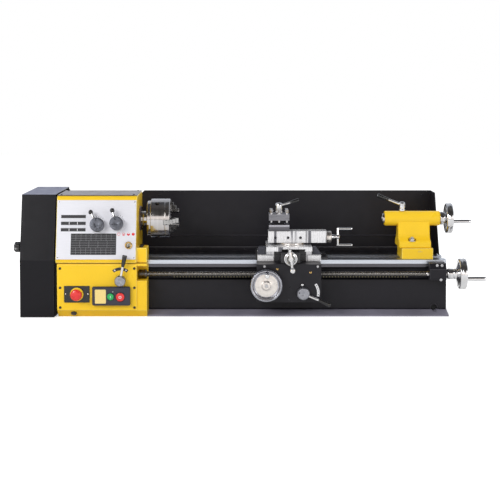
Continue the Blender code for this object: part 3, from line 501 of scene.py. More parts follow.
def swept(path, radius, made, sides=10):
    """Round section carried along a path: each ring lies square to the path's own direction there."""
    path = np.asarray(path, float)
    ahead = np.gradient(path, axis=0)
    ahead /= np.linalg.norm(ahead, axis=1, keepdims=True)
    side = np.cross(ahead, (0.31, 0.17, 0.93))
    side /= np.linalg.norm(side, axis=1, keepdims=True)
    other = np.cross(ahead, side)
    turn = np.linspace(0, 2 * np.pi, sides, endpoint=False)
    ring = np.cos(turn)[None, :, None] * side[:, None] + np.sin(turn)[None, :, None] * other[:, None]
    size = np.broadcast_to(np.asarray(radius, float), (len(path),))
    points = (path[:, None] + ring * size[:, None, None]).reshape(-1, 3)
    return points, quads(len(path), sides) + end_faces(len(points), sides), made


def pan_screw(spot, direction, made, radius=0.0035):
    """Low domed head with a shallow round recess."""
    stations = [(0, 0), (0, radius), (radius * 0.3, radius * 0.92), (radius * 0.52, radius * 0.5),
                (radius * 0.52, radius * 0.35), (radius * 0.25, 0.0)]
    return turned(stations, spot, direction, made, sides=20, soft=0.0003)


WALL_Y, WALL_LEFT, WALL_RIGHT, WALL_TOP, CORNER = 0.2178, -0.353, 0.6262, 0.3655, 0.013
top_hem = rounded([(WALL_LEFT + 0.002, WALL_Y, 0.175), (WALL_LEFT + 0.002, WALL_Y, WALL_TOP - CORNER),
                   (WALL_LEFT + CORNER, WALL_Y, WALL_TOP), (WALL_RIGHT, WALL_Y, WALL_TOP)], 0.006, steps=5)
wing_hem = rounded([(0.6262, 0.120, 0.3640), (0.6262, 0.018, 0.1755)], 0.004)
piece("guard_hems", "frame", swept(top_hem, 0.0013, black_edge), swept(wing_hem, 0.0012, black_edge))
# The fold strip is a paler grey than the black sheet, mottled along its length: a painted highlight line.
fold_highlight_steel = finish("guard_fold_painted_highlight", 0.42, metallic=0.3)
fold_highlight_mottle = ranged(fold_highlight_steel, grain(fold_highlight_steel, (9, 60, 60), 4), 0, 1)
feed(fold_highlight_steel, tinted(fold_highlight_steel, fold_highlight_mottle, (0.10, 0.10, 0.11), (0.20, 0.20, 0.22)), "Base Color")
piece("guard_fold", "frame",
      prism(rectangle(-0.335, 0.615, 0.1735, 0.1755, 0.0005), -0.2172, -0.2188, "-Y",
            fold_highlight_steel, edge=0.0004))
piece("guard_bead", "frame",
      swept([(-0.300, WALL_Y, 0.2140), (0.585, WALL_Y, 0.2140)], 0.0022, black_edge))
SEAM_ROW, TOP_ROW = 0.166, 0.352
guard_spots = [(x, SEAM_ROW) for x in np.linspace(-0.30, 0.60, 7)] + [(x, TOP_ROW) for x in (-0.29, 0.60)]
piece("guard_screws", "frame", *[pan_screw((x, 0.2180, z), FRONT, black_oxide) for x, z in guard_spots])

# --------------------------------------------------------------------------------- headstock
# Hollow iron housing in yellow enamel with a grey lid, bolted to the bed through its toe.  The
# spindle's front bearing sits in the right wall behind a turned cover ring with six screws.

YELLOW = (0.955, 0.610, 0.018)
yellow_enamel = painted("yellow_enamel", YELLOW, roughness=0.34, peel=0.00010, coat=0.12, dirt=0.93,
                        specular=0.3)
yellow_edge = painted("yellow_enamel_edge", (0.97, 0.74, 0.13), roughness=0.30, dirt=0.97)
dress("headstock_casting", yellow_enamel, edge=0.0024, steps=3, worn=yellow_edge)
lid_enamel = painted("lid_enamel", (0.110, 0.085, 0.098), roughness=0.34, peel=0.00005)
HEAD_LEFT, HEAD_RIGHT, HEAD_TOP = -0.588, -0.337, 0.376
chuck_steel = ground("turned_bright_steel", (700, 3, 3), tone=(0.64, 0.62, 0.62), roughness=0.12,
                     depth=0.0000004)
AXIS_Z = 0.295
SPINDLE_LINE = (0, 0, AXIS_Z), RIGHT
head_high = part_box("headstock_casting")[1]
piece("headstock_lid", "frame",
      prism(rectangle(HEAD_LEFT + 0.001, HEAD_RIGHT - 0.0005, -0.0960, head_high[1] - 0.002, 0.003),
            HEAD_TOP + 0.00005, HEAD_TOP + 0.0018, "Z", lid_enamel, edge=0.0005),
      *[pan_screw((x, y, HEAD_TOP + 0.0017), TOP, black_oxide, 0.0032)
        for x in (HEAD_LEFT + 0.012, HEAD_RIGHT - 0.012) for y in (-0.082, head_high[1] - 0.014)])


def ring_spots(x, y, z, radius, angles):
    """Points round a line along X: Y and Z are the line's plus the radius times cosine and sine."""
    return [(x, y + radius * math.cos(a), z + radius * math.sin(a)) for a in angles]


piece("bearing_cover", "frame",
      turned([(-0.0045, 0.0265), (0.0022, 0.0265), (0.0022, 0.040), (-0.0045, 0.040)],
             (HEAD_RIGHT + 0.0024, 0, AXIS_Z), RIGHT, lid_enamel, sides=64, bored=True),
      *[cap_screw(spot, RIGHT, black_oxide, 0.003, 0.0024)
        for spot in ring_spots(HEAD_RIGHT + 0.0046, 0, AXIS_Z, 0.034, np.radians(np.arange(6) * 60 + 30))])
piece("toe_bolts", "frame",
      *[cap_screw((-0.3235, y, 0.216), TOP, black_oxide, 0.0065, 0.006) for y in (-0.115, -0.085)])
dress("spindle_bearing", chuck_steel)

# ------------------------------------------------------------------- headstock's front plate
# Anodised aluminium plate on the slanted front.  It carries a speed chart, a feed chart, four
# level marks and two raised rings that the selector levers turn on.

SLANT_LOW, SLANT_HIGH = np.array([-0.148, 0.181]), np.array([-0.100, 0.366])
slope = (SLANT_HIGH - SLANT_LOW) / np.linalg.norm(SLANT_HIGH - SLANT_LOW)
UPHILL = np.array([0.0, slope[0], slope[1]])
OUTWARD = np.array([0.0, -slope[1], slope[0]])
PLATE = 0.0025


def slant(x, z, height=PLATE):
    """Point above the plate, over the place on the slanted front with this X and Z."""
    part = (z - SLANT_LOW[1]) / (SLANT_HIGH[1] - SLANT_LOW[1])
    y = SLANT_LOW[0] + part * (SLANT_HIGH[0] - SLANT_LOW[0])
    return np.array([x, y, z]) + OUTWARD * height


panel_plate = finish("anodised_plate", 0.5, metallic=0.15, specular=0.3)
brush = grain(panel_plate, (30, 1600, 1600), 3)
feed(panel_plate,
     tinted(panel_plate, ranged(panel_plate, brush, 0, 1), (0.69, 0.69, 0.74), (0.75, 0.75, 0.80)),
     "Base Color")
feed(panel_plate, ranged(panel_plate, brush, 0.34, 0.5), "Roughness")
relief(panel_plate, brush, 0.00001)
dress("headstock_panel", panel_plate, edge=0.0006)


def printed(name, colour, roughness=0.45):
    """Screen ink: nearly even, with a faint mottle and its own slight texture."""
    made = finish(name, roughness)
    mottle = grain(made, (500, 500, 500), 3)
    feed(made, tinted(made, mottle, scaled(colour, 0.82), scaled(colour, 1.1)), "Base Color")
    feed(made, ranged(made, mottle, roughness - 0.08, roughness + 0.1), "Roughness")
    return made


INK = 0.00015
SLANT_FRAME = (slant(0, SLANT_LOW[1], PLATE), RIGHT, UPHILL, OUTWARD)


def up(z):
    """Distance along the slope of a height above the floor."""
    return (z - SLANT_LOW[1]) / slope[1]


def ink(outline, made, layer=1):
    return prism(outline, 0.0, INK * layer, SLANT_FRAME, made)


black_ink = printed("black_ink", (0.022, 0.022, 0.026))
white_ink = printed("white_ink", (0.80, 0.80, 0.82))
grey_ink = printed("grey_ink", (0.33, 0.33, 0.36))
red_ink = printed("red_ink", (0.75, 0.02, 0.03))

SPEED_WIDTH = (-0.5730, -0.4960)
speed_chart = []
for low, high, cells in ((0.3068, 0.3165, 1), (0.2860, 0.2960, 3), (0.2665, 0.2765, 3)):
    speed_chart.append(ink(rectangle(*SPEED_WIDTH, up(low), up(high)), black_ink))
    for x in np.linspace(*SPEED_WIDTH, cells + 1)[1:-1]:
        divider = rectangle(x - 0.0009, x + 0.0009, up(low + 0.0012), up(high - 0.0012))
        speed_chart.append(ink(divider, white_ink, 2))
for row in (0.3033, 0.2990, 0.2832, 0.2792):
    speed_chart.append(ink(rectangle(-0.5720, -0.4970, up(row - 0.0002), up(row + 0.0002)), grey_ink))
piece("speed_chart", "frame", *speed_chart)

CHART_LEFT, CHART_RIGHT, CHART_LOW, CHART_HIGH, HALF_RULE = -0.541, -0.400, 0.1955, 0.2600, 0.00025
feed_chart = [ink(rectangle(CHART_LEFT, CHART_RIGHT, up(CHART_LOW), up(CHART_HIGH)), black_ink)]
for z in np.linspace(CHART_LOW, CHART_HIGH, 10)[1:-1]:
    rule = rectangle(CHART_LEFT + 0.002, CHART_RIGHT - 0.002, up(z - HALF_RULE), up(z + HALF_RULE))
    feed_chart.append(ink(rule, grey_ink, 2))
for low, high, columns in ((0.1970, 0.2170, 9), (0.2170, 0.2385, 5), (0.2385, 0.2585, 9)):
    for x in np.linspace(CHART_LEFT, CHART_RIGHT, columns + 1)[1:-1]:
        feed_chart.append(ink(rectangle(x - HALF_RULE, x + HALF_RULE, up(low), up(high)), grey_ink, 2))
piece("feed_chart", "frame", *feed_chart)

level_marks = []
for i, x in enumerate((-0.3925, -0.3775, -0.3625, -0.3475)):
    centre = (x, up(0.2580))
    level_marks.append(ink(arc_band(centre, 0.0036, 0.0046, 0, 359.9, 36), red_ink))
    if i:
        fill = arc_band(centre, 0.0, 0.0036, -90 - 60 * i, -90 + 60 * i)
        level_marks.append(ink(fill[len(fill) // 2 - 1:], red_ink))
piece("oil_level_marks", "frame", *level_marks)
piece("plate_rivets", "frame",
      *[pan_screw(slant(x, z), OUTWARD, chuck_steel, 0.0022)
        for x in (-0.581, -0.344) for z in (0.187, 0.356)])

# --------------------------------------------------------------------------- speed selectors
# Two turned hubs, brushed on the face, each with a thin chromed arm and a black ball.  A red dot on
# the rim shows the position against ticks on the raised ring.

chrome = finish("polished_chrome", 0.10, metallic=1.0)
smear = grain(chrome, (55, 55, 55), 5)
feed(chrome, tinted(chrome, smear, (0.60, 0.60, 0.61), (0.86, 0.86, 0.87)), "Base Color")
feed(chrome, ranged(chrome, smear, 0.06, 0.20), "Roughness")
relief(chrome, grain(chrome, (700, 700, 700), 2), 0.000004)
brushed_face = ground("brushed_hub_steel", (160, 160, 160), tone=(0.17, 0.18, 0.21), roughness=0.30)


def moulded(name, colour, roughness=0.42, texture=0.00004, coat=0.0):
    """Moulded plastic: even colour, a fine leathery grain and finger-polished patches."""
    made = finish(name, roughness, coat=coat)
    handled = grain(made, (70, 70, 70), 4)
    feed(made, tinted(made, handled, scaled(colour, 0.78), scaled(colour, 1.15)), "Base Color")
    feed(made, ranged(made, handled, roughness - 0.12, roughness + 0.08), "Roughness")
    relief(made, grain(made, (1500, 1500, 1500), 2), texture)
    return made


phenolic = moulded("black_phenolic", (0.005, 0.005, 0.006), roughness=0.24, texture=0.00001, coat=0.4)
BALL_R = 0.0074
for side, x, z, lean, radius, reach in (("left", -0.459, 0.2845, 27.0, 0.0217, 0.0435),
                                        ("right", -0.399, 0.2885, 18.0, 0.0208, 0.0420)):
    body = "speed_selector_" + side
    turn = math.radians(lean)
    way = UPHILL * math.cos(turn) - np.array([1.0, 0, 0]) * math.sin(turn)
    ring_at = (slant(x, z, 0.0), RIGHT, UPHILL, OUTWARD)
    piece(f"selector_ring_{side}", "frame",
          turned([(0.0026, 0.0215), (0.0026, 0.0256), (0.0072, 0.0252), (0.0078, 0.0246), (0.0078, 0.0215)],
                 slant(x, z, 0.0), OUTWARD, panel_plate, sides=72, bored=True))
    piece(f"selector_scale_{side}", "frame",
          *[prism(arc_band((0, 0), 0.0268, 0.0295, a - 1.6, a + 1.6, 3), PLATE, PLATE + INK, ring_at,
                  black_ink) for a in range(55, 126, 14)])
    middle = slant(x, z, 0.024)
    hub = slant(x, z, 0.0083)
    foot = middle - way * radius * 0.76 + OUTWARD * 0.0055
    ball = [(BALL_R - BALL_R * math.cos(a), BALL_R * math.sin(a))
            for a in np.linspace(0.15, math.pi - 0.15, 14)]
    piece(f"selector_hub_{side}", body,
          turned([(0, 0), (0, radius), (0.0160, radius), (0.0170, radius - 0.0006),
                  (0.0176, radius - 0.0006), (0.0185, radius), (0.0196, radius), (0.0215, radius - 0.0022),
                  (0.0215, 0.006), (0.0208, 0.0052), (0.0208, 0)], hub, OUTWARD, brushed_face, sides=72,
                 soft=0.0004),
          bar(middle + way * 0.008, middle + way * (reach - 0.004), chrome, (0, 0.0040), (0.6, 0.0038),
              (1, 0.0032)),
          turned([(0, 0), *ball, (2 * BALL_R, 0)], middle + way * (reach - BALL_R), way, phenolic, sides=32,
                 soft=0),
          turned([(0, 0), (0, 0.0030), (0.0006, 0.0030), (0.0006, 0)], foot - OUTWARD * 0.0030, OUTWARD,
                 red_ink, sides=20, soft=0.0002),
          stands_for=(f"selector_lever_{side}",))

# ------------------------------------------------------------------------------- sight glass
# Brass ring screwed into the housing, with a domed glass over the oil.  The glass is opaque and painted:
# dark oil with paler patches of painted light in it.

brass = ground("turned_brass", (500, 500, 500), tone=(0.78, 0.52, 0.19), roughness=0.22)
oil_glass = finish("oil_sight_glass", 0.06, coat=1.0)
# Paler patches in the dark oil colour: painted light.
painted_light_in_oil = grain(oil_glass, (70, 70, 120), 4)
feed(oil_glass, tinted(oil_glass, ranged(oil_glass, painted_light_in_oil, 0, 1, 0.4, 0.6), (0.045, 0.035, 0.02),
                       (0.62, 0.60, 0.52)), "Base Color")
glass_at = slant(-0.3615, 0.224, 0.0028)
piece("oil_window", "frame",
      turned([(0, 0.0070), (0, 0.0115), (0.0036, 0.0115), (0.0050, 0.0100), (0.0048, 0.0078),
              (0.0030, 0.0070)], glass_at, OUTWARD, brass, sides=56, bored=True, soft=0.0004),
      turned([(0.0004, 0), (0.0004, 0.0069), (0.0028, 0.0066), (0.0037, 0.0045), (0.0041, 0.0022),
              (0.0042, 0)], glass_at, OUTWARD, oil_glass, sides=40, soft=0.0006),
      stands_for=("sight_glass",))

# ------------------------------------------------------------------------------- control box
# Yellow box in front of the bed's left end.  Its flat front plate is held by six black screws and a
# black plug closes the drain in the slope underneath.

PANEL_FACE = -0.150
dress("control_box", yellow_enamel, edge=0.0016, worn=yellow_edge)
dress("control_panel", yellow_enamel, edge=0.0009, worn=yellow_edge)
piece("panel_screws", "frame",
      *[pan_screw((x, PANEL_FACE, z), FRONT, black_oxide, 0.0042) for x in (-0.5735, -0.3430)
        for z in (0.154, 0.094, 0.032)])
piece("drain_plug", "frame",
      turned([(0, 0), (0, 0.0095), (0.0025, 0.0085), (0.0036, 0.004), (0.0036, 0)], (-0.533, -0.1375, 0.0125),
             (0, -0.738, -0.674), phenolic, sides=36))
bush_steel = ground("oiled_bush_steel", (300, 300, 300), tone=(0.13, 0.125, 0.12), roughness=0.32)
SCREW_Y, SCREW_Z = -0.095, 0.1295
SCREW_LINE = (0, SCREW_Y, SCREW_Z), RIGHT
piece("leadscrew_bush_ring", "frame",
      turned([(-0.335, 0.0083), (-0.335, 0.0110), (-0.331, 0.0140), (-0.322, 0.0140), (-0.3215, 0.0132),
              (-0.3195, 0.0132), (-0.319, 0.0140), (-0.312, 0.0140), (-0.308, 0.0120), (-0.308, 0.0083)],
             *SCREW_LINE, bush_steel, bored=True, sides=56),
      stands_for=("leadscrew_bush",))

# ---------------------------------------------------------------------------- emergency stop
# Red mushroom button that presses into a yellow collar, on a black plate with two screws.

collar_yellow = moulded("collar_yellow", (0.96, 0.60, 0.02), roughness=0.3, coat=0.3)
stop_red = moulded("stop_red", (0.78, 0.030, 0.030), roughness=0.30, texture=0.00001, coat=0.25)
stop_x, stop_z = -0.521, 0.0745
plate_low, plate_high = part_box("estop_housing")
stop_front = PANEL_FACE - 0.0003
piece("estop_plate", "frame",
      prism(rectangle(plate_low[0], plate_high[0], plate_low[2], plate_high[2], 0.002), stop_front - 0.0022,
            stop_front, "Y", phenolic, edge=0.0005),
      turned([(0.002, 0.0122), (0.002, 0.0207), (0.0095, 0.0207), (0.0118, 0.0190), (0.0120, 0.0165),
              (0.0108, 0.0150), (0.0108, 0.0122)], (stop_x, stop_front, stop_z), FRONT, collar_yellow,
             bored=True, sides=72),
      stands_for=("estop_housing",))
piece("estop_screws", "frame",
      *[pan_screw((x, stop_front - 0.0022, 0.075), FRONT, chuck_steel, 0.0026) for x in (-0.5560, -0.4870)])
piece("estop_mushroom", "estop",
      turned([(0.010, 0), (0.010, 0.0115), (0.0190, 0.0115), (0.0196, 0.0172), (0.0215, 0.0180),
              (0.0262, 0.0176), (0.0292, 0.0155), (0.0310, 0.0112), (0.0319, 0.0060), (0.0320, 0)],
             (stop_x, stop_front, stop_z), FRONT, stop_red, sides=72, soft=0.0012),
      stands_for=("estop_button",))

# -------------------------------------------------------------------------- start-stop switch
# Blue-black moulded switch with a green start button, a red stop button, a pilot light and a bare
# cream plate where its label would be.

case_plastic = moulded("switch_case_plastic", (0.028, 0.030, 0.048), roughness=0.40, texture=0.00006)
cream_plate = printed("bare_cream_plate", (0.90, 0.70, 0.26), roughness=0.38)
start_green = moulded("start_green", (0.012, 0.42, 0.10), roughness=0.30, texture=0.00001, coat=0.25)
dress("switch_box", case_plastic, edge=0.0012)
case_front = -0.1643
piece("switch_label_plate", "frame",
      prism(rectangle(-0.4640, -0.4300, 0.0470, 0.0905, 0.003), case_front - 0.0007, case_front + 0.0002, "Y",
            cream_plate, edge=0.0002))
piece("pilot_light", "frame",
      turned([(0, 0), (0, 0.0022), (0.0006, 0.0020), (0.0011, 0.0012), (0.0013, 0)],
             (-0.4085, case_front, 0.0835), FRONT, grey_ink, sides=20, soft=0.0002))
for name, x, z, radius, cap in (("start", -0.416, 0.068, 0.0105, start_green),
                                ("stop", -0.386, 0.067, 0.0133, stop_red)):
    piece(f"{name}_bezel", "frame",
          turned([(-0.001, radius + 0.0006), (-0.001, radius + 0.0022), (0.0008, radius + 0.0020),
                  (0.0014, radius + 0.0012), (0.0008, radius + 0.0006)], (x, case_front, z), FRONT,
                 case_plastic, bored=True, sides=48, soft=0.0002))
    if name == "start":
        mark = prism(rectangle(x - 0.0008, x + 0.0008, z - 0.0036, z + 0.0036), -0.1679, -0.1676, "Y",
                     white_ink)
    else:
        mark = turned([(0.0, 0.0028), (0.0, 0.0044), (0.0003, 0.0044), (0.0003, 0.0028)], (x, -0.1676, z),
                      FRONT, white_ink, sides=36, bored=True, soft=0)
    piece(f"{name}_cap", name,
          turned([(0, 0), (0, radius), (0.0085, radius), (0.0100, radius - 0.0012), (0.0106, radius * 0.55),
                  (0.0104, 0)], (x, -0.1573, z), FRONT, cap, sides=56, soft=0.0006),
          mark, stands_for=(f"{name}_button",))

# -------------------------------------------------------------------------------- feed lever
# Chromed rod with a black taper grip in a turned hub.  A black arc on the panel shows its two
# directions with white arrows.


def gripped(start, way, rod, grip):
    """A chromed rod and the black grip over its end; each is (from, to, *radii) along the way."""
    rod_from, rod_to, *rod_radii = rod
    grip_from, grip_to, *grip_radii = grip
    return (bar(start + way * rod_from, start + way * rod_to, chrome, *rod_radii),
            bar(start + way * grip_from, start + way * grip_to, phenolic, *grip_radii, sides=36, soft=0.0012))


FEED_X, FEED_Z, FEED_LEAN = -0.386, 0.117, math.radians(11)
feed_way = np.array([math.sin(FEED_LEAN), 0.0, math.cos(FEED_LEAN)])
feed_middle = np.array([FEED_X, stop_front - 0.016, FEED_Z])
brushed_boss = ground("brushed_boss_steel", (160, 160, 160), tone=(0.37, 0.38, 0.42), roughness=0.30)
piece("feed_lever_arm", "feed_selector",
      turned([(0, 0), (0, 0.0170), (0.0060, 0.0170), (0.0066, 0.0163), (0.0074, 0.0170), (0.0190, 0.0170),
              (0.0220, 0.0142), (0.0220, 0.0050), (0.0212, 0.0044), (0.0212, 0)],
             (FEED_X, stop_front, FEED_Z), FRONT, brushed_boss, sides=64),
      *gripped(feed_middle, feed_way, rod=(0.008, 0.048, 0.0041),
               grip=(0.045, 0.082, (0, 0.0050), (0.12, 0.0056), (0.9, 0.0076), (1.0, 0.0066))),
      stands_for=("feed_lever",))


def clock(degrees):
    """Angle on the panel from an angle clockwise of straight up."""
    return 90.0 - degrees


panel_frame = ((FEED_X, PANEL_FACE, FEED_Z), RIGHT, TOP, FRONT)
arrow_marks = []
for tip in (-30.5, 29.5):
    aim = math.radians(clock(tip))
    centre = np.array([math.cos(aim), math.sin(aim)]) * 0.0360
    along = np.array([math.sin(aim), -math.cos(aim)]) * (1 if tip > 0 else -1)
    across = np.array([math.cos(aim), math.sin(aim)])
    arrow_marks.append(prism([centre + along * 0.0038, centre - along * 0.0026 + across * 0.0030,
                              centre - along * 0.0026 - across * 0.0030], 0, INK * 2, panel_frame, white_ink))
piece("feed_arc_mark", "frame",
      prism(arc_band((0, 0), 0.0312, 0.0405, clock(38), clock(-39), 32), 0, INK, panel_frame, black_ink),
      *arrow_marks)

# ------------------------------------------------------------------ end cover and its backing
# Folded steel cover over the change gears and belt.  It hangs on two pins behind and closes against a
# flat backing plate with a star knob; its level top is painted a paler bluish grey than its sides, a
# painted sheen.

cover_enamel = painted("cover_enamel", (0.0085, 0.0082, 0.0110), roughness=0.36, peel=0.00010, coat=0.0,
                       specular=0.18)
COVER_TOP = 0.3792


def base_colour(made):
    """The socket that already feeds a material's base colour."""
    return made.node_tree.nodes["Principled BSDF"].inputs["Base Color"].links[0].from_socket


# Above COVER_TOP the colour turns pale bluish grey: a painted sheen on the level top.
painted_sheen_top = maths(cover_enamel, "GREATER_THAN", coordinate(cover_enamel, "Z"), COVER_TOP)
feed(cover_enamel, tinted(cover_enamel, painted_sheen_top, base_colour(cover_enamel), (0.165, 0.175, 0.260)),
     "Base Color")
dress("gear_cover", cover_enamel, edge=0.0013, worn=black_edge)
dress("gear_case_plate", black_enamel, edge=0.0004)
knob_at = (-0.6983, -0.020, 0.204)
piece("star_knob", "cover_latch",
      turned([(0.0, 0), (0.0, 0.0072), (0.0170, 0.0085), (0.0186, 0.0150), (0.0215, 0.0175),
              (0.0360, 0.0175), (0.0392, 0.0140), (0.0397, 0.0070), (0.0397, 0)], knob_at, LEFT, phenolic,
             sides=80, flutes=(5, 0.0046, 0.0180, 0.0400), soft=0.0012),
      turned([(0, 0), (0, 0.0042), (0.0003, 0.0042), (0.0003, 0)],
             (knob_at[0] - 0.0393, knob_at[1], knob_at[2]), LEFT, chuck_steel, sides=28, soft=0.0001),
      stands_for=("cover_knob",))

# ------------------------------------------------------------------------- gears, belt, motor
# Inside the cover: three change gears on a slotted arm, and a flat belt from the motor's small pulley
# up to the spindle's large one.  The motor hangs behind the headstock with its fins along it.

gear_steel = ground("hobbed_gear_steel", (260, 260, 260), tone=(0.46, 0.45, 0.42), roughness=0.30)
for name in ("spindle_gear", "idler_gear", "leadscrew_gear", "rack_pinion"):
    dress(name, gear_steel)
dress("gear_quadrant", bush_steel, edge=0.0008)
IDLER = (-0.0597153, 0.2310443)


def hex_nut(spot, direction, made, across, height, bore=0.0):
    """Hexagon whose radius follows cos 30 / cos(angle within a flat), with chamfered corners."""
    radius = across / 2
    stations = [(0, bore), (0, radius), (height * 0.82, radius), (height, radius * 0.90), (height, bore)]
    return turned(stations, spot, direction, made, sides=60, soft=0, bored=bool(bore), hexed=(1, 2))


piece("idler_stud_nut", "frame",
      hex_nut((-0.6135, *IDLER), LEFT, black_oxide, 0.0135, 0.0045))
piece("leadscrew_end_nut", "leadscrew_unit",
      hex_nut((-0.6130, SCREW_Y, SCREW_Z), LEFT, black_oxide, 0.0170, 0.0070, bore=0.0068))

belt_rubber = moulded("belt_rubber", (0.020, 0.020, 0.021), roughness=0.72, texture=0.00010)
MOTOR_Y, MOTOR_Z = 0.150, 0.245
SPINDLE_RIM, MOTOR_RIM = 0.034, 0.020


def belt_path(extra, steps=40):
    """Two arcs about the pulleys' middles joined by their outer tangents, as (Y, Z) points."""
    big, small = np.array([0.0, AXIS_Z]), np.array([MOTOR_Y, MOTOR_Z])
    away = small - big
    lead = math.atan2(away[1], away[0])
    spread = math.acos((SPINDLE_RIM - MOTOR_RIM) / np.linalg.norm(away))
    wide = np.linspace(lead + spread, lead + 2 * np.pi - spread, steps)
    narrow = np.linspace(lead - spread, lead + spread, steps)
    return np.vstack([big + (SPINDLE_RIM + extra) * np.stack([np.cos(wide), np.sin(wide)], 1),
                      small + (MOTOR_RIM + extra) * np.stack([np.cos(narrow), np.sin(narrow)], 1)])


def belt_loop():
    """The belt's section, in X and height over the groove, carried round its path."""
    section = rounded([(-0.643, 0.0008), (-0.629, 0.0008), (-0.6305, 0.0065), (-0.6415, 0.0065)], 0.0008,
                      closed=True)
    loops = np.stack([np.column_stack([np.full(80, x), belt_path(lift)]) for x, lift in section], 1)
    return loops.reshape(-1, 3), quads(80, len(section), wrap=True), belt_rubber


piece("flat_belt", "frame", belt_loop(), stands_for=("drive_belt",))


def pulley(middle, bottom, hub, web, bore=0.0, sides=72):
    """Turned pulley with one belt groove and a web thinned between hub and rim."""
    rim = bottom + 0.008
    return turned([(-0.650, bore), (-0.650, hub), (-0.6485, hub + 0.0015), (-0.6485, web),
                   (-0.650, web + 0.002), (-0.650, rim - 0.0012), (-0.6488, rim), (-0.6455, rim),
                   (-0.644, bottom), (-0.628, bottom), (-0.6265, rim), (-0.6232, rim),
                   (-0.622, rim - 0.0014), (-0.622, bore)],
                  (0, *middle), RIGHT, chuck_steel, sides, 0.0004, bored=bool(bore))


motor_grey = painted("motor_enamel", (0.052, 0.052, 0.058), roughness=0.42, peel=0.00014)
SHAFT_R = 0.009
piece("motor_drive_pulley", "motor_drive",
      pulley((MOTOR_Y, MOTOR_Z), MOTOR_RIM, hub=0.012, web=0.018),
      bar((-0.6225, MOTOR_Y, MOTOR_Z), (-0.549, MOTOR_Y, MOTOR_Z), chuck_steel, SHAFT_R),
      stands_for=("motor_pulley",))
piece("spindle_drive_pulley", "spindle_unit",
      pulley((0, AXIS_Z), SPINDLE_RIM, hub=0.022, web=0.034, bore=0.0153, sides=80),
      stands_for=("spindle_pulley",))
piece("motor_body", "frame",
      turned([(-0.566, 0.0110), (-0.566, 0.0200), (-0.562, 0.0430), (-0.557, 0.0500), (-0.5475, 0.0500),
              (-0.5465, 0.0480), (-0.545, 0.0480), (-0.545, 0.0480), (-0.393, 0.0480), (-0.3915, 0.0480),
              (-0.3905, 0.0500), (-0.382, 0.0500), (-0.376, 0.0440), (-0.372, 0.0200), (-0.3722, 0.0110),
              (-0.549, 0.0110)],
             (0, MOTOR_Y, MOTOR_Z), RIGHT, motor_grey, sides=216, flutes=(36, 0.0040, -0.5450, -0.3920),
             bored=True, soft=0.0008),
      *[cap_screw(spot, LEFT, black_oxide, 0.0028, 0.0030)
        for spot in ring_spots(-0.562, MOTOR_Y, MOTOR_Z, 0.036, np.radians((45, 135, 225, 315)))],
      prism(rectangle(-0.540, -0.410, 0.205, 0.270, 0.004), 0.0883, 0.112, "Y", motor_grey, edge=0.0015),
      prism(rectangle(-0.510, -0.430, 0.120, 0.180, 0.006), 0.285, 0.3135, "Z", motor_grey, edge=0.0012),
      prism(rectangle(-0.512, -0.428, 0.118, 0.182, 0.007), 0.3137, 0.3180, "Z", motor_grey, edge=0.0014),
      turned([(0, 0.0052), (0, 0.0092), (0.005, 0.0092), (0.0056, 0.0078), (0.0075, 0.0078), (0.009, 0.0086),
              (0.015, 0.0080), (0.016, 0.0066), (0.016, 0.0052)], (-0.432, 0.150, 0.301), RIGHT, phenolic,
             sides=60, bored=True, flutes=(12, 0.0008, 0.0085, 0.0150)),
      stands_for=("motor",))
piece("terminal_box_screws", "frame",
      *[pan_screw((x, y, 0.3178), TOP, chuck_steel, 0.0024)
        for x in (-0.504, -0.436) for y in (0.126, 0.174)])
plate_bare = printed("bare_rating_plate", (0.55, 0.55, 0.56), roughness=0.35)
piece("motor_plate", "frame",
      prism(rectangle(-0.500, -0.440, 0.223, 0.262, 0.002), 0.1972, 0.1984, "Y", plate_bare,
            edge=0.0003))

# ------------------------------------------------------------------------- spindle and chuck
# Ground hollow spindle.  The three-jaw scroll chuck is bolted to a back plate on its nose; the jaws
# ride in slots in its face, and a square key turns the pinion in its rim.

piece("spindle_shaft", "spindle_unit",
      turned([(-0.668, 0.0100), (-0.668, 0.0140), (-0.667, 0.0150), (-0.595, 0.0150), (-0.594, 0.0200),
              (-0.337, 0.0200), (-0.3365, 0.0228), (-0.3290, 0.0230), (-0.3285, 0.0218), (-0.3265, 0.0218),
              (-0.3260, 0.0230), (-0.3123, 0.0230), (-0.3123, 0.0100)],
             *SPINDLE_LINE, chuck_steel, sides=96, bored=True),
      stands_for=("spindle",))
piece("chuck_back", "spindle_unit",
      turned([(-0.3120, 0.0120), (-0.3120, 0.0535), (-0.3105, 0.0560), (-0.3003, 0.0560), (-0.3003, 0.0120)],
             *SPINDLE_LINE, chuck_steel, sides=120, bored=True),
      *[cap_screw(spot, LEFT, black_oxide, 0.0042, 0.0036)
        for spot in ring_spots(-0.3119, 0, AXIS_Z, 0.041, np.radians((20, 140, 260)))],
      stands_for=("chuck_backplate",))


def carved(item, cutters):
    """Cuts solids out of a piece with one Boolean, bakes the result into its mesh, drops the cutters."""
    step = item.modifiers.new("carve", "BOOLEAN")
    step.operation = "DIFFERENCE"
    step.object = cutters
    step.solver = "EXACT"
    depsgraph = bpy.context.evaluated_depsgraph_get()
    made = bpy.data.meshes.new_from_object(item.evaluated_get(depsgraph))
    old = item.data
    item.modifiers.remove(step)
    item.data = made
    bpy.data.meshes.remove(old)
    bpy.data.objects.remove(cutters)
    made.set_sharp_from_angle(angle=math.radians(30))
    return item


def cutter(*shapes):
    """A throwaway object made of the shapes, merged and turned outwards."""
    return piece("cutter", "frame", *shapes)


CHUCK_R, JAW_HALF, KEY_X = 0.0625, 0.0077, -0.279
JAW_ANGLES = np.radians((187.0, 67.0, 307.0))
PINION_ANGLE = math.radians(127.0)


def spoke(angle):
    """Frame whose second side vector points outwards from the spindle at an angle in the Y-Z plane."""
    out = (0.0, math.cos(angle), math.sin(angle))
    return (0, 0, AXIS_Z), RIGHT, out, (0.0, -math.sin(angle), math.cos(angle))


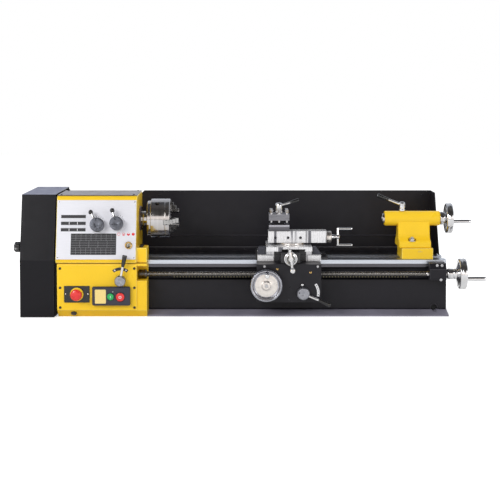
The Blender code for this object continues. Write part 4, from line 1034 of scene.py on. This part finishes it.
chuck = piece("chuck_shell", "spindle_unit",
              turned([(-0.300, 0.016), (-0.300, 0.0608), (-0.2990, CHUCK_R), (-0.2560, CHUCK_R),
                      (-0.2555, 0.0616), (-0.2538, 0.0616), (-0.2533, CHUCK_R), (-0.2410, CHUCK_R),
                      (-0.2390, 0.0606), (-0.2390, 0.0430), (-0.2396, 0.0425), (-0.2396, 0.0290),
                      (-0.2390, 0.0285), (-0.2390, 0.0175), (-0.2405, 0.016)], *SPINDLE_LINE, chuck_steel,
                     sides=144, bored=True, soft=0.0004),
              stands_for=("chuck_body",))
slots = [prism(rectangle(-0.2590, -0.2300, 0.004, 0.080), -JAW_HALF - 0.0003, JAW_HALF + 0.0003, spoke(a),
               chuck_steel) for a in JAW_ANGLES]
key_turns = PINION_ANGLE + np.radians((0, 120, 240))
sockets = [bar(inner, outer, chuck_steel, 0.0070, sides=36, soft=0)
           for inner, outer in zip(ring_spots(KEY_X, 0, AXIS_Z, 0.044, key_turns),
                                   ring_spots(KEY_X, 0, AXIS_Z, 0.070, key_turns))]
carved(chuck, cutter(*slots))
carved(chuck, cutter(*sockets))
dark_socket = ground("socket_shadow_steel", (200, 200, 200), tone=(0.10, 0.095, 0.09), roughness=0.4)


def key_socket(turn, mouth, bore, floor):
    """Turned plug with a recess for the key, standing out from the spindle's line at an angle."""
    out = np.array([0.0, math.cos(turn), math.sin(turn)])
    stations = [(0, 0), (0, 0.0066), (mouth, 0.0066), (mouth + 0.0005, bore), (floor, bore), (floor, 0)]
    return turned(stations, np.array([KEY_X, 0, AXIS_Z]) + out * 0.0443, out, dark_socket, sides=48)


piece("fixed_key_sockets", "spindle_unit",
      *[key_socket(turn, mouth=0.0150, bore=0.0045, floor=0.0060) for turn in key_turns[1:]])
piece("key_pinion", "scroll_pinion",
      key_socket(PINION_ANGLE, mouth=0.0152, bore=0.0046, floor=0.0075),
      stands_for=("chuck_pinion",))
jaw_steel = ground("hardened_jaw_steel", (160, 160, 160), tone=(0.50, 0.495, 0.49), roughness=0.22)
JAW_STEPS = np.array([(-0.2587, 0.020), (-0.212, 0.020), (-0.212, 0.031), (-0.221, 0.031), (-0.221, 0.042),
                      (-0.230, 0.042), (-0.230, 0.052), (-0.238, 0.052), (-0.238, 0.060), (-0.2587, 0.060)])
for number, turn in enumerate(JAW_ANGLES, start=1):
    item = piece(f"jaw_{number}", f"jaw_{number}",
                 prism(rounded(JAW_STEPS, 0.0006, closed=True, steps=2), -JAW_HALF, JAW_HALF, spoke(turn),
                       jaw_steel, edge=0.0006), stands_for=(f"chuck_jaw_{number}",))
    grooves = [prism(rectangle(-0.2510, -0.2465, 0.010, 0.070), side * JAW_HALF - 0.0016,
                     side * JAW_HALF + 0.0016, spoke(turn), jaw_steel) for side in (-1, 1)]
    carved(item, cutter(*grooves))
piece("chuck_face_bolts", "spindle_unit",
      *[cap_screw(spot, RIGHT, black_oxide, 0.0036, 0.0010)
        for spot in ring_spots(-0.2391, 0, AXIS_Z, 0.050, JAW_ANGLES + math.pi / 3)])

# ---------------------------------------------------------------------------------- leadscrew
# Long trapezoidal thread in steel whose tone is darkened, a painted dark reflection, carried in the control
# box and in a black bracket at the right-hand foot, where a polished handwheel turns it by hand.

# The screw steel's tone is made dark: a painted dark reflection.
leadscrew_painted_dark = ground("leadscrew_painted_dark_reflection", (500, 90, 90), tone=(0.20, 0.19, 0.18), roughness=0.24)
PITCH_X, THREAD_R, THREAD_DEPTH = 0.004, 0.0080, 0.0009


def threaded(left, right, made, sides=24, rows_per_turn=6):
    """Screw thread: radius = outside radius less a trapezium of (distance / pitch + angle / full turn)."""
    along = np.arange(left, right, PITCH_X / rows_per_turn)[:, None]
    angle = np.linspace(0, 2 * np.pi, sides, endpoint=False)[None]
    part = (along / PITCH_X + angle / (2 * np.pi)) % 1.0
    groove = np.clip(np.abs(part - 0.5) * 5.0 - 0.75, 0.0, 1.0)
    radius = THREAD_R - THREAD_DEPTH * groove
    points = np.stack([np.broadcast_to(along, radius.shape), SCREW_Y + radius * np.cos(angle),
                       SCREW_Z + radius * np.sin(angle)], -1).reshape(-1, 3)
    return points, quads(len(along), sides) + end_faces(len(points), sides), made


piece("leadscrew_thread", "leadscrew_unit",
      threaded(-0.300, 0.571, leadscrew_painted_dark),
      turned([(-0.622, 0), (-0.622, 0.0065), (-0.6213, 0.0070), (-0.598, 0.0070), (-0.597, 0.0080),
              (-0.303, 0.0080), (-0.300, 0.0066), (-0.2985, 0.0066), (-0.2985, 0)], *SCREW_LINE,
             leadscrew_painted_dark, sides=48),
      turned([(0.569, 0), (0.569, 0.0066), (0.5725, 0.0080), (0.697, 0.0080), (0.698, 0.0070), (0.698, 0)],
             *SCREW_LINE, chuck_steel, sides=48),
      stands_for=("leadscrew",))
dress("leadscrew_bracket", black_enamel, edge=0.0014, worn=black_edge)
bright_bolt = ground("zinc_bolt", (400, 400, 400), tone=(0.60, 0.60, 0.62), roughness=0.26)
piece("bracket_bolts", "frame",
      *[cap_screw((x, y, z), FRONT, bright_bolt, 0.0042, 0.004)
        for x, y, z in ((0.602, -0.1046, 0.1575), (0.617, -0.1046, 0.1575), (0.613, -0.1130, 0.1135))])


def dial_marks(centre, direction, radius, low, high, count, made, long_every=5):
    """Graduations round a collar: thin raised boxes set by angle, one in long_every the longest."""
    way, first, second = side_ways(direction)
    turn = np.arange(count) * 2 * np.pi / count
    length = np.where(np.arange(count) % long_every == 0, 1.0, 0.55) * (high - low)
    half = 0.00022
    out = np.cos(turn)[:, None] * first + np.sin(turn)[:, None] * second
    side = np.cross(way, out)
    corners = []
    for lift in (-0.0002, 0.00012):
        for across, end in ((-half, 0.0), (half, 0.0), (half, 1.0), (-half, 1.0)):
            corners.append(np.asarray(centre) + way * (low + end * length[:, None]) + out * (radius + lift)
                           + side * across)
    points = np.stack(corners, 1).reshape(-1, 3)
    box = np.array([(0, 1, 2, 3), (7, 6, 5, 4), (0, 4, 5, 1), (1, 5, 6, 2), (2, 6, 7, 3), (3, 7, 4, 0)])
    faces = (box[None] + 8 * np.arange(count)[:, None, None]).reshape(-1, 4).tolist()
    return points, faces, made


GRIP_Y, GRIP_Z = SCREW_Y - 0.034, SCREW_Z - 0.011
piece("leadscrew_wheel", "leadscrew_unit",
      turned([(0.635, 0.0083), (0.635, 0.0150), (0.638, 0.0168), (0.6530, 0.0168), (0.6538, 0.0158),
              (0.6560, 0.0158), (0.6568, 0.0168), (0.664, 0.0168), (0.667, 0.024), (0.6705, 0.0385),
              (0.6700, 0.0440), (0.6715, 0.0475), (0.6760, 0.0485), (0.6800, 0.0478), (0.6815, 0.0478),
              (0.6850, 0.0485), (0.6900, 0.0485), (0.6935, 0.0465), (0.6925, 0.0435), (0.6855, 0.0385),
              (0.6820, 0.0240), (0.6850, 0.0165), (0.6965, 0.0150), (0.6970, 0.0083)], *SCREW_LINE, chrome,
             sides=120, bored=True, soft=0.0012),
      bar((0.684, GRIP_Y, GRIP_Z), (0.752, GRIP_Y, GRIP_Z), chrome, (0, 0.0045), (0.12, 0.0045),
          (0.14, 0.0062), (0.5, 0.0070), (0.92, 0.0066), (1.0, 0.0052), sides=40, soft=0.0010),
      stands_for=("leadscrew_handwheel",))
piece("leadscrew_dial_marks", "leadscrew_unit",
      dial_marks(*SCREW_LINE, 0.0168, 0.6395, 0.6460, 50, black_ink))

# --------------------------------------------------------------------------- saddle and apron
# The saddle bridges both ways on machined wings, with rubber wipers and a painted front boss for the
# cross screw.  The black apron bolts under its front edge and hides the feed gears and half nuts.

saddle_iron = finish("saddle_casting", 0.3)
BOSS_X, BOSS_HALF, BOSS_BACK, WIPER_X = 0.142, 0.0505, -0.0700, 0.2403
saddle_x = coordinate(saddle_iron, "X")
off_centre = maths(saddle_iron, "ABSOLUTE", maths(saddle_iron, "SUBTRACT", saddle_x, BOSS_X))
boss = maths(saddle_iron, "MULTIPLY", maths(saddle_iron, "LESS_THAN", off_centre, BOSS_HALF),
             maths(saddle_iron, "LESS_THAN", coordinate(saddle_iron, "Y"), BOSS_BACK))
dark = maths(saddle_iron, "MAXIMUM", boss, maths(saddle_iron, "GREATER_THAN", saddle_x, WIPER_X))
scrape = grain(saddle_iron, (150, 900, 24), 4)
iron_tone = tinted(saddle_iron, ranged(saddle_iron, scrape, 0, 1), (0.38, 0.38, 0.40), (0.74, 0.74, 0.76))
iron_paint = tinted(saddle_iron, ranged(saddle_iron, grain(saddle_iron, (120, 120, 120), 5), 0, 1),
                    (0.013, 0.013, 0.016), (0.040, 0.039, 0.045))
feed(saddle_iron, tinted(saddle_iron, dark, iron_tone, iron_paint), "Base Color")
feed(saddle_iron, maths(saddle_iron, "SUBTRACT", 1.0, dark), "Metallic")
feed(saddle_iron, ranged(saddle_iron, scrape, 0.20, 0.38), "Roughness")
relief(saddle_iron, grain(saddle_iron, (400, 400, 400), 3), 0.00006)
dress("saddle", saddle_iron, edge=0.0012)

# Upward faces and broad noise bands are painted pale grey against dark grey: a painted highlight on top and
# painted reflections on the sides; the fine streaks are scratches.
planed = finish("planed_slide_steel", 0.22, metallic=0.6)
painted_bright_top = ranged(planed, coordinate(planed, "Z", "Normal"), 0, 0.7, 0.5, 0.8)
painted_reflection_bands = maths(planed, "MAXIMUM", ranged(planed, grain(planed, (38, 26, 2), 5), 0, 1, 0.40, 0.45), painted_bright_top)
streaks = grain(planed, (900, 900, 12), 3)
reflection_band_tone = tinted(planed, painted_reflection_bands, (0.13, 0.13, 0.15), (0.90, 0.90, 0.92))
feed(planed, tinted(planed, ranged(planed, streaks, 0, 0.25), reflection_band_tone, (0.35, 0.35, 0.37)), "Base Color")
feed(planed, ranged(planed, streaks, 0.16, 0.34), "Roughness")
relief(planed, streaks, 0.00001)
wing_plates = [prism(rectangle(left, right, 0.1668, 0.1855, 0.0015), -0.0820, -0.0803, "Y", planed,
                     edge=0.0004) for left, right in ((0.0400, 0.0895), (0.1945, 0.2385))]
piece("saddle_wing_plates", "carriage", *wing_plates)
piece("saddle_wing_bolts", "carriage",
      *[cap_screw((x, y, 0.188), TOP, black_oxide, 0.0045, 0.0042) for x in (0.052, 0.2250)
        for y in (-0.045, 0.050)])
chip_guard = painted("chip_guard_enamel", (0.040, 0.042, 0.058), roughness=0.40, peel=0.00030, coat=0.0)
piece("saddle_chip_guards", "carriage",
      *[prism(outline, 0.0560, 0.0780, "-Y", chip_guard, edge=0.0006) for outline in (
          [(0.0412, 0.1881), (0.0640, 0.1881), (0.0640, 0.2128), (0.0440, 0.2128), (0.0412, 0.2100)],
          [(0.2142, 0.1881), (0.2380, 0.1881), (0.2380, 0.1935), (0.2235, 0.2128), (0.2142, 0.2128)])])
wiper_rubber = moulded("wiper_rubber", (0.018, 0.018, 0.019), roughness=0.75, texture=0.00012)
# A black disc behind the foot's through hole: painted shade inside the hole.
piece("lifting_hole_painted_shade", "frame",
      turned([(0.0560, 0), (0.0560, 0.0098), (0.0600, 0.0098), (0.0612, 0.0086), (0.0612, 0)],
             (FOOT_HOLE[0], 0, FOOT_HOLE[1]), FRONT, wiper_rubber, sides=40, soft=0.0004))
piece("left_wipers", "carriage",
      *[prism(rectangle(low, high, 0.1702, 0.1865, 0.001), 0.0345, 0.0388, "X", wiper_rubber, edge=0.0004)
        for low, high in ((-0.0770, -0.0270), (0.0270, 0.0770))])

apron_enamel = painted("apron_enamel", (0.0145, 0.0140, 0.0180), roughness=0.34, peel=0.00008, coat=0.0,
                       specular=0.25)
dress("apron", apron_enamel, edge=0.0015, worn=black_edge)
APRON_FACE = -0.140
piece("apron_bolts", "carriage",
      *[cap_screw((x, APRON_FACE, 0.1590), FRONT, bright_bolt, 0.0036, 0.0030) for x in (0.0605, 0.2260)],
      *[cap_screw((x, APRON_FACE, 0.0560), FRONT, black_oxide, 0.0034, 0.0024)
        for x in (0.050, 0.137, 0.226)])
for name, x, z in (("oil_nipple_left", 0.100, 0.150), ("oil_nipple_right", 0.204, 0.140)):
    piece(name, "carriage",
          turned([(0, 0), (0, 0.0034), (0.0008, 0.0034), (0.0012, 0.0024), (0.0020, 0.0018), (0.0024, 0)],
                 (x, APRON_FACE, z), FRONT, brass, sides=28, soft=0.0003))

# ----------------------------------------------------------------- carriage handwheel and gears
# Polished handwheel with a flat bright face, a deep groove and a round rim.  Its pinion drives the
# reducer behind the apron's front wall, whose own small gear walks along the rack.

# One polished steel in two tones: the face pale cream and the rim dark blue-grey, painted reflections.
wheel_face = ground("polished_wheel_face", (90, 90, 90), tone=(0.86, 0.82, 0.78), roughness=0.30)
rim_painted_dark = ground("wheel_rim_painted_dark_reflection", (90, 90, 90), tone=(0.44, 0.45, 0.50), roughness=0.20)
WHEEL_X, WHEEL_Z = 0.066, 0.103


def gear_outline(middle, teeth, module, lean):
    """Straight-flanked teeth: root, tip, tip, root at set parts of each pitch round the middle."""
    parts = (np.arange(teeth)[:, None] + np.array([-0.27, -0.12, 0.12, 0.27])).ravel()
    turn = parts * 2 * np.pi / teeth + lean
    radius = np.tile([teeth / 2 - 1.15, teeth / 2 + 0.8, teeth / 2 + 0.8, teeth / 2 - 1.15], teeth) * module
    return np.stack([middle[0] + radius * np.cos(turn), middle[1] + radius * np.sin(turn)], 1)


wheel_spot = (WHEEL_X, 0, WHEEL_Z)
piece("carriage_wheel", "handwheel",
      turned([(0.1403, 0), (0.1403, 0.0160), (0.1500, 0.0165), (0.1520, 0.0200), (0.1545, 0.0385),
              (0.1570, 0.0455), (0.1610, 0.0495), (0.1665, 0.0505), (0.1715, 0.0498), (0.1748, 0.0470),
              (0.1745, 0.0440), (0.1710, 0.0415), (0.1650, 0.0395), (0.1640, 0.0362), (0.1640, 0.0200),
              (0.1640, 0)], wheel_spot, FRONT, rim_painted_dark, sides=144, soft=0.0010),
      turned([(0.1638, 0), (0.1638, 0.0352), (0.1644, 0.0360), (0.1652, 0.0350), (0.1656, 0.0200),
              (0.1665, 0.0150), (0.1740, 0.0132), (0.1760, 0.0118), (0.1760, 0.0062), (0.1752, 0.0056),
              (0.1752, 0)], wheel_spot, FRONT, wheel_face, sides=120, soft=0.0006),
      bar((WHEEL_X, -0.112, WHEEL_Z), (WHEEL_X, -0.1405, WHEEL_Z), gear_steel, 0.0070),
      prism(gear_outline((WHEEL_X, WHEEL_Z), 12, 0.0015, math.radians(8)), -0.124, -0.112, "Y", gear_steel),
      bar((WHEEL_X + 0.002, -0.1640, WHEEL_Z + 0.036), (WHEEL_X + 0.002, -0.2150, WHEEL_Z + 0.036), chrome,
          (0, 0.0048), (0.12, 0.0048), (0.14, 0.0058), (0.6, 0.0072), (0.95, 0.0074), (1.0, 0.0060),
          sides=44, soft=0.0012),
      cap_screw((WHEEL_X, -0.1752, WHEEL_Z), FRONT, bright_bolt, 0.0045, 0.0016),
      stands_for=("carriage_handwheel",))
piece("wheel_dial_marks", "handwheel",
      dial_marks((WHEEL_X, 0, WHEEL_Z), FRONT, 0.0162, 0.1412, 0.1480, 60, black_ink))

# ------------------------------------------------------------------------- half nuts and lever
# Brass half nuts clamp on the leadscrew; a chromed lever with a black taper grip works them.  A white
# arc on the apron shows its swing, and a small index pin stands above the hub.

for name in ("half_nut_upper", "half_nut_lower"):
    dress(name, brass, edge=0.0006)
NUT_X, NUT_Z, NUT_LEAN = 0.181, 0.076, math.radians(-23)
nut_way = np.array([math.cos(NUT_LEAN), 0.0, math.sin(NUT_LEAN)])
nut_middle = np.array([NUT_X, -0.152, NUT_Z])
piece("half_nut_handle", "nut_lever",
      turned([(0.1403, 0), (0.1403, 0.0195), (0.1450, 0.0195), (0.1456, 0.0188), (0.1464, 0.0195),
              (0.1568, 0.0195), (0.1598, 0.0165), (0.1600, 0.0050), (0.1590, 0.0044), (0.1590, 0)],
             (NUT_X, 0, NUT_Z), FRONT, brushed_boss, sides=80),
      *gripped(nut_middle, nut_way, rod=(0.010, 0.055, 0.0043),
               grip=(0.051, 0.092, (0, 0.0050), (0.12, 0.0056), (0.92, 0.0074), (1.0, 0.0064))),
      cap_screw((NUT_X - 0.0125, -0.1596, NUT_Z + 0.003), FRONT, black_oxide, 0.0022, 0.0008),
      stands_for=("half_nut_lever",))
piece("half_nut_index_pin", "carriage",
      bar((NUT_X - 0.003, APRON_FACE + 0.001, NUT_Z + 0.0265), (NUT_X - 0.003, -0.1500, NUT_Z + 0.0265),
          chrome, (0, 0.0042), (0.9, 0.0042), (1.0, 0.0030)))
nut_frame = ((NUT_X, APRON_FACE, NUT_Z), RIGHT, TOP, FRONT)
swing_marks = [prism(arc_band((0, 0), 0.0432, 0.0512, -13, 36, 28), 0, INK * 2, nut_frame, white_ink)]
for middle_turn in (-6, 29):
    aim = math.radians(middle_turn)
    spot = np.array([math.cos(aim), math.sin(aim)]) * 0.0472
    swing_marks.append(prism(disc(spot, 0.0016, 20), 0, INK * 3, nut_frame, black_ink))
swing_marks.append(prism(arc_band((0, 0), 0.0466, 0.0476, 2, 22, 12), 0, INK * 3, nut_frame, black_ink))
piece("half_nut_arc_mark", "carriage", *swing_marks)

# -------------------------------------------------------------------- cross slide and its screw
# Planed steel slide on a dovetail, driven by a screw with a graduated collar and a two-armed crank.

dress("cross_slide", planed, edge=0.0012)
CROSS_X, CROSS_Z, CRANK_Y = 0.142, 0.183, -0.155
CROSS_LINE = (CROSS_X, 0, CROSS_Z), FRONT
cross_lean = math.radians(-8)
cross_way = np.array([math.sin(cross_lean), 0.0, math.cos(cross_lean)])
cross_middle = np.array([CROSS_X, CRANK_Y, CROSS_Z])


def crank_grip(foot, direction, reach, made, neck, belly, tip):
    """Turned handle: a neck, then a body that swells towards its rounded end."""
    stations = [(0, 0), (0, neck), (reach * 0.10, neck), (reach * 0.12, neck + 0.0012), (reach * 0.55, belly),
                (reach * 0.90, tip), (reach, tip * 0.72), (reach, 0)]
    return turned(stations, foot, direction, made, sides=40, soft=0.0014)


# A dark ring on the floor of the collar's recess: painted shade.
recess_shade_steel = ground("collar_recess_painted_shade", (60, 60, 60), tone=(0.22, 0.22, 0.21), roughness=0.28)
piece("cross_feed_screw", "cross_crank",
      turned([(-0.088, 0), (-0.088, 0.0060), (0.1282, 0.0060), (0.1283, 0.0190), (0.1292, 0.0208),
              (0.1300, 0.0210), (0.1462, 0.0210), (0.1475, 0.0202), (0.1480, 0.0182), (0.1462, 0.0170),
              (0.1440, 0.0120), (0.1440, 0.0085), (0.1500, 0.0080), (0.1588, 0.0075), (0.1590, 0)],
             *CROSS_LINE, chrome, sides=96, soft=0.0006),
      turned([(0.1438, 0.0086), (0.1438, 0.0160), (0.1446, 0.0160), (0.1446, 0.0086)], *CROSS_LINE,
             recess_shade_steel, sides=64, soft=0.0002, bored=True),
      bar(cross_middle - cross_way * 0.0345, cross_middle + cross_way * 0.0345, chrome, (0, 0.0040),
          (0.15, 0.0048), (0.5, 0.0062), (0.85, 0.0048), (1, 0.0040), soft=0.0010),
      crank_grip(cross_middle - cross_way * 0.031, FRONT, 0.040, chrome, 0.0040, 0.0070, 0.0088),
      crank_grip(cross_middle + cross_way * 0.031, FRONT, 0.034, chrome, 0.0036, 0.0046, 0.0052),
      stands_for=("cross_screw",))
piece("cross_dial_marks", "cross_crank",
      dial_marks(*CROSS_LINE, 0.0210, 0.1308, 0.1380, 80, black_ink))
piece("cross_slide_gib_screws", "cross",
      *[cap_screw((0.2111, y, 0.2055), RIGHT, black_oxide, 0.0026, 0.0016)
        for y in (-0.08, -0.04, 0.0, 0.04)])

# --------------------------------------------------------------------------- compound slide
# The top slide swivels on a graduated disc.  Three gib screws with lock nuts show along its front, and
# a small screw with collar and crank drives it.

dress("compound_base", planed)
SWIVEL_X, SWIVEL_Y, SLIDE_Z = 0.150, -0.014, 0.2365
COMPOUND_LINE = (0, SWIVEL_Y, SLIDE_Z), RIGHT
piece("swivel_disc", "swivel",
      turned([(0.2144, 0.0350), (0.2144, 0.0415), (0.2150, 0.0422), (0.2192, 0.0422), (0.2201, 0.0412),
              (0.2201, 0.0350)], (SWIVEL_X, SWIVEL_Y, 0), TOP, wheel_face, sides=128, bored=True,
             soft=0.0003))
clamp_iron = painted("clamp_iron", (0.045, 0.046, 0.058), roughness=0.42, peel=0.00030, coat=0.0)
piece("swivel_clamps", "swivel",
      *[prism(rectangle(left, right, 0.2150, 0.2208), 0.0090, 0.0230, "-Y", clamp_iron, edge=0.0008)
        for left, right in ((0.0860, 0.1040), (0.1960, 0.2050))])
piece("swivel_degree_marks", "swivel",
      dial_marks((SWIVEL_X, SWIVEL_Y, 0), TOP, 0.0422, 0.2152, 0.2186, 72, black_ink, long_every=2))
dress("compound_slide", planed, edge=0.0016, steps=3)
gib_screws = []
for x in (0.0965, 0.1370, 0.1765):
    gib_screws.append(hex_nut((x, -0.0399, 0.2368), FRONT, black_oxide, 0.0080, 0.0026))
    gib_screws.append(bar((x, -0.0400, 0.2368), (x, -0.0455, 0.2368), black_oxide, 0.0022))
piece("compound_gib_screws", "compound", *gib_screws)
piece("compound_end_collar", "compound",
      prism(rectangle(-0.0385, 0.0105, 0.2215, 0.2570, 0.005), 0.2550, 0.26005, "X", wheel_face, edge=0.0006))
crank_middle = np.array([0.297, SWIVEL_Y, SLIDE_Z])
crank_lean = math.radians(4)
crank_way = np.array([0.0, math.sin(crank_lean), math.cos(crank_lean)])
piece("compound_feed_screw", "compound_crank",
      turned([(0.2603, 0.0052), (0.2603, 0.0170), (0.2620, 0.0190), (0.2745, 0.0190), (0.2762, 0.0178),
              (0.2768, 0.0120), (0.2768, 0.0052)], *COMPOUND_LINE, wheel_face, sides=72, bored=True),
      turned([(0.112, 0), (0.112, 0.0050), (0.2766, 0.0050), (0.2768, 0.0110), (0.2780, 0.0080),
              (0.2900, 0.0060), (0.2925, 0.0078), (0.3010, 0.0078), (0.3030, 0.0060), (0.3030, 0)],
             *COMPOUND_LINE, chrome, sides=72),
      bar(crank_middle - crank_way * 0.0285, crank_middle + crank_way * 0.0285, chrome, (0, 0.0036),
          (0.5, 0.0050), (1, 0.0036), soft=0.0010),
      *[crank_grip(crank_middle + crank_way * side * 0.026 - np.array([0.004, 0, 0]), RIGHT, 0.051, chrome,
                   0.0030, 0.0042, 0.0046) for side in (-1, 1)],
      stands_for=("compound_screw",))
piece("compound_dial_marks", "compound_crank",
      dial_marks(*COMPOUND_LINE, 0.0190, 0.2630, 0.2700, 50, black_ink))

# --------------------------------------------------------------------------------- tool post
# Square four-way post with a slot on every side.  Square-headed clamp screws stand round its top, and
# a chromed hub with a slanting lever locks it on its stud.

post_steel = ground("blued_post_steel", (12, 12, 300), tone=(0.20, 0.20, 0.22), roughness=0.26)
POST_FOOT, POST_HEAD = 0.258, 0.312
post_rise = ranged(post_steel, coordinate(post_steel, "Z"), 0, 1, POST_FOOT, POST_HEAD)
# Bands round the post by height, multiplied into its colour: a bright band of painted highlight and a dark
# band of painted shade.
painted_light_bands = stepped(post_steel, post_rise, (0.0, 0.55), (0.25, 0.9), (0.28, 2.6), (0.365, 2.6),
                (0.375, 0.12), (0.62, 0.12), (0.635, 1.3), (1.0, 1.3))
feed(post_steel, tinted(post_steel, 1.0, base_colour(post_steel), painted_light_bands, "MULTIPLY"), "Base Color")
dress("tool_post", post_steel, edge=0.0012, steps=3)
POST_X, POST_Y = 0.1085, -0.014
clamp_screws = []
for across, along in ((-1, -1), (0, -1), (1, -1), (-1, 0), (1, 0), (-1, 1), (0, 1), (1, 1)):
    x, y = POST_X + 0.0245 * across, POST_Y + 0.0245 * along
    clamp_screws.append(bar((x, y, 0.284), (x, y, 0.3165), bright_bolt, (0, 0.0030), (0.1, 0.0037),
                            (1, 0.0037)))
    clamp_screws.append(turned([(0.3155, 0), (0.3155, 0.0047), (0.3162, 0.0052), (0.3250, 0.0052),
                                (0.3262, 0.0042), (0.3262, 0)], (x, y, 0), TOP, bright_bolt, sides=4,
                               soft=0.0003))
piece("tool_clamp_screws", "post", *clamp_screws)
lever_start = np.array([POST_X, POST_Y, 0.336])
lever_end = np.array([0.172, POST_Y - 0.004, 0.355])
piece("post_lock_lever", "post_lever",
      turned([(0.3123, 0), (0.3123, 0.0120), (0.3180, 0.0120), (0.3190, 0.0105), (0.3230, 0.0100),
              (0.3240, 0.0112), (0.3380, 0.0118), (0.3430, 0.0105), (0.3460, 0.0070), (0.3460, 0)],
             (POST_X, POST_Y, 0), TOP, chrome, sides=72, soft=0.0008),
      *gripped(lever_start, lever_end - lever_start, rod=(0, 0.62, (0, 0.0040), (1, 0.0034)),
               grip=(0.56, 1, (0, 0.0040), (0.1, 0.0050), (0.92, 0.0064), (1, 0.0054))),
      stands_for=("tool_post_lever",))

# --------------------------------------------------------------------------------- tailstock
# Yellow casting in two parts: a base that slides on the ways and a body whose barrel holds the quill.
# A lever locks the quill, a nut on the ledge clamps the body, and a polished wheel feeds the quill.

dress("tailstock_base", yellow_enamel, edge=0.0016, steps=3, worn=yellow_edge)
half_neck = [(0.0570, 0.2053), (0.0560, 0.2260), (0.0400, 0.2320), (0.0280, 0.2400), (0.0245, 0.2620),
             (0.0205, 0.2900)]
neck_outline = rounded([(-y, z) for y, z in reversed(half_neck)] + half_neck, 0.006, closed=True, steps=5)
tail_body = piece("tailstock_casting", "tailstock",
                  turned([(0.447, 0.0153), (0.447, 0.0218), (0.4487, 0.0235), (0.6223, 0.0235),
                          (0.6240, 0.0222), (0.6240, 0.0072), (0.600, 0.0072), (0.600, 0.0153)],
                         *SPINDLE_LINE, yellow_enamel, sides=120, bored=True, soft=0.0010),
                  prism(neck_outline[::-1], 0.489, 0.590, "X", yellow_enamel, edge=0.0022),
                  stands_for=("tailstock_body",), smooth=38)
NUT_SPOT = (0.531, -0.045)
carved(tail_body, cutter(bar((0.470, 0, AXIS_Z), (0.5998, 0, AXIS_Z), yellow_enamel, 0.0152, sides=64,
                             soft=0),
                         bar((*NUT_SPOT, 0.2262), (*NUT_SPOT, 0.2700), yellow_enamel, 0.0130,
                             sides=48, soft=0)))
piece("clamp_washer", "tailstock",
      turned([(0.2262, 0.0060), (0.2262, 0.0122), (0.2278, 0.0122), (0.2278, 0.0060)], (*NUT_SPOT, 0), TOP,
             bright_bolt, sides=48, bored=True, soft=0.0003))
piece("clamp_nut", "tail_clamp",
      hex_nut((*NUT_SPOT, 0.2279), TOP, bright_bolt, 0.0165, 0.0095),
      bar((*NUT_SPOT, 0.2370), (*NUT_SPOT, 0.2405), bright_bolt, (0, 0.0048), (0.8, 0.0048), (1, 0.0040)),
      stands_for=("tailstock_clamp_nut",))
OFFSET_X, OFFSET_Z = 0.5548, 0.1925
piece("offset_scale", "tailstock",
      *[prism(rectangle(OFFSET_X + step - 0.0003, OFFSET_X + step + 0.0003, OFFSET_Z,
                        OFFSET_Z + (0.004 if step else 0.007)), -0.0602, -0.05995, "Y", grey_ink)
        for step in (-0.006, -0.003, 0.0, 0.003, 0.006)])
piece("tail_base_screws", "tailstock",
      *[cap_screw((0.5962, y, 0.1900), RIGHT, black_oxide, 0.0050, 0.0020) for y in (-0.035, 0.035)])
piece("quill_barrel", "quill_unit",
      turned([(0.4400, 0.0095), (0.4400, 0.0138), (0.4412, 0.0150), (0.5900, 0.0150), (0.5900, 0.0076),
              (0.5000, 0.0072)], *SPINDLE_LINE, chuck_steel, sides=96, bored=True, soft=0.0004),
      stands_for=("quill",))
scale_lines = [(0.4420 + 0.002 * step, 0.0022 if step % 5 else 0.0034) for step in range(30)]
piece("quill_scale", "quill_unit",
      *[prism(rectangle(x - 0.00015, x + 0.00015, -half, half), AXIS_Z + 0.01480, AXIS_Z + 0.01512, "Z",
              black_ink) for x, half in scale_lines])
lock_elbow, lock_tip = np.array([0.504, 0, 0.338]), np.array([0.425, -0.002, 0.369])
piece("quill_lock_handle", "quill_lock",
      turned([(0.3188, 0), (0.3188, 0.0100), (0.3240, 0.0100), (0.3250, 0.0088), (0.3280, 0.0088),
              (0.3290, 0.0100), (0.3420, 0.0100), (0.3465, 0.0080), (0.3480, 0.0050), (0.3480, 0)],
             (0.504, 0, 0), TOP, chrome, sides=64, soft=0.0008),
      *gripped(lock_elbow, lock_tip - lock_elbow, rod=(0, 0.62, (0, 0.0044), (1, 0.0038)),
               grip=(0.55, 1, (0, 0.0042), (0.1, 0.0050), (0.92, 0.0066), (1, 0.0055))),
      stands_for=("quill_lock_lever",))
piece("tailstock_wheel", "quill_wheel",
      turned([(0.4820, 0), (0.4820, 0.0060), (0.6242, 0.0060), (0.6243, 0.0195), (0.6262, 0.0210),
              (0.6390, 0.0210), (0.6405, 0.0195), (0.6412, 0.0145), (0.6430, 0.0160), (0.6440, 0.0300),
              (0.6425, 0.0420), (0.6435, 0.0470), (0.6475, 0.0487), (0.6510, 0.0480), (0.6530, 0.0480),
              (0.6565, 0.0487), (0.6610, 0.0485), (0.6638, 0.0462), (0.6625, 0.0430), (0.6550, 0.0385),
              (0.6520, 0.0240), (0.6545, 0.0165), (0.6650, 0.0142), (0.6660, 0.0120), (0.6660, 0)],
             *SPINDLE_LINE, chrome, sides=120, soft=0.0010),
      crank_grip(np.array([0.6560, -0.035, AXIS_Z - 0.007]), RIGHT, 0.064, chrome, 0.0045, 0.0062, 0.0060),
      stands_for=("tailstock_handwheel",))
piece("tail_dial_marks", "quill_wheel",
      dial_marks(*SPINDLE_LINE, 0.0210, 0.6275, 0.6345, 60, black_ink))
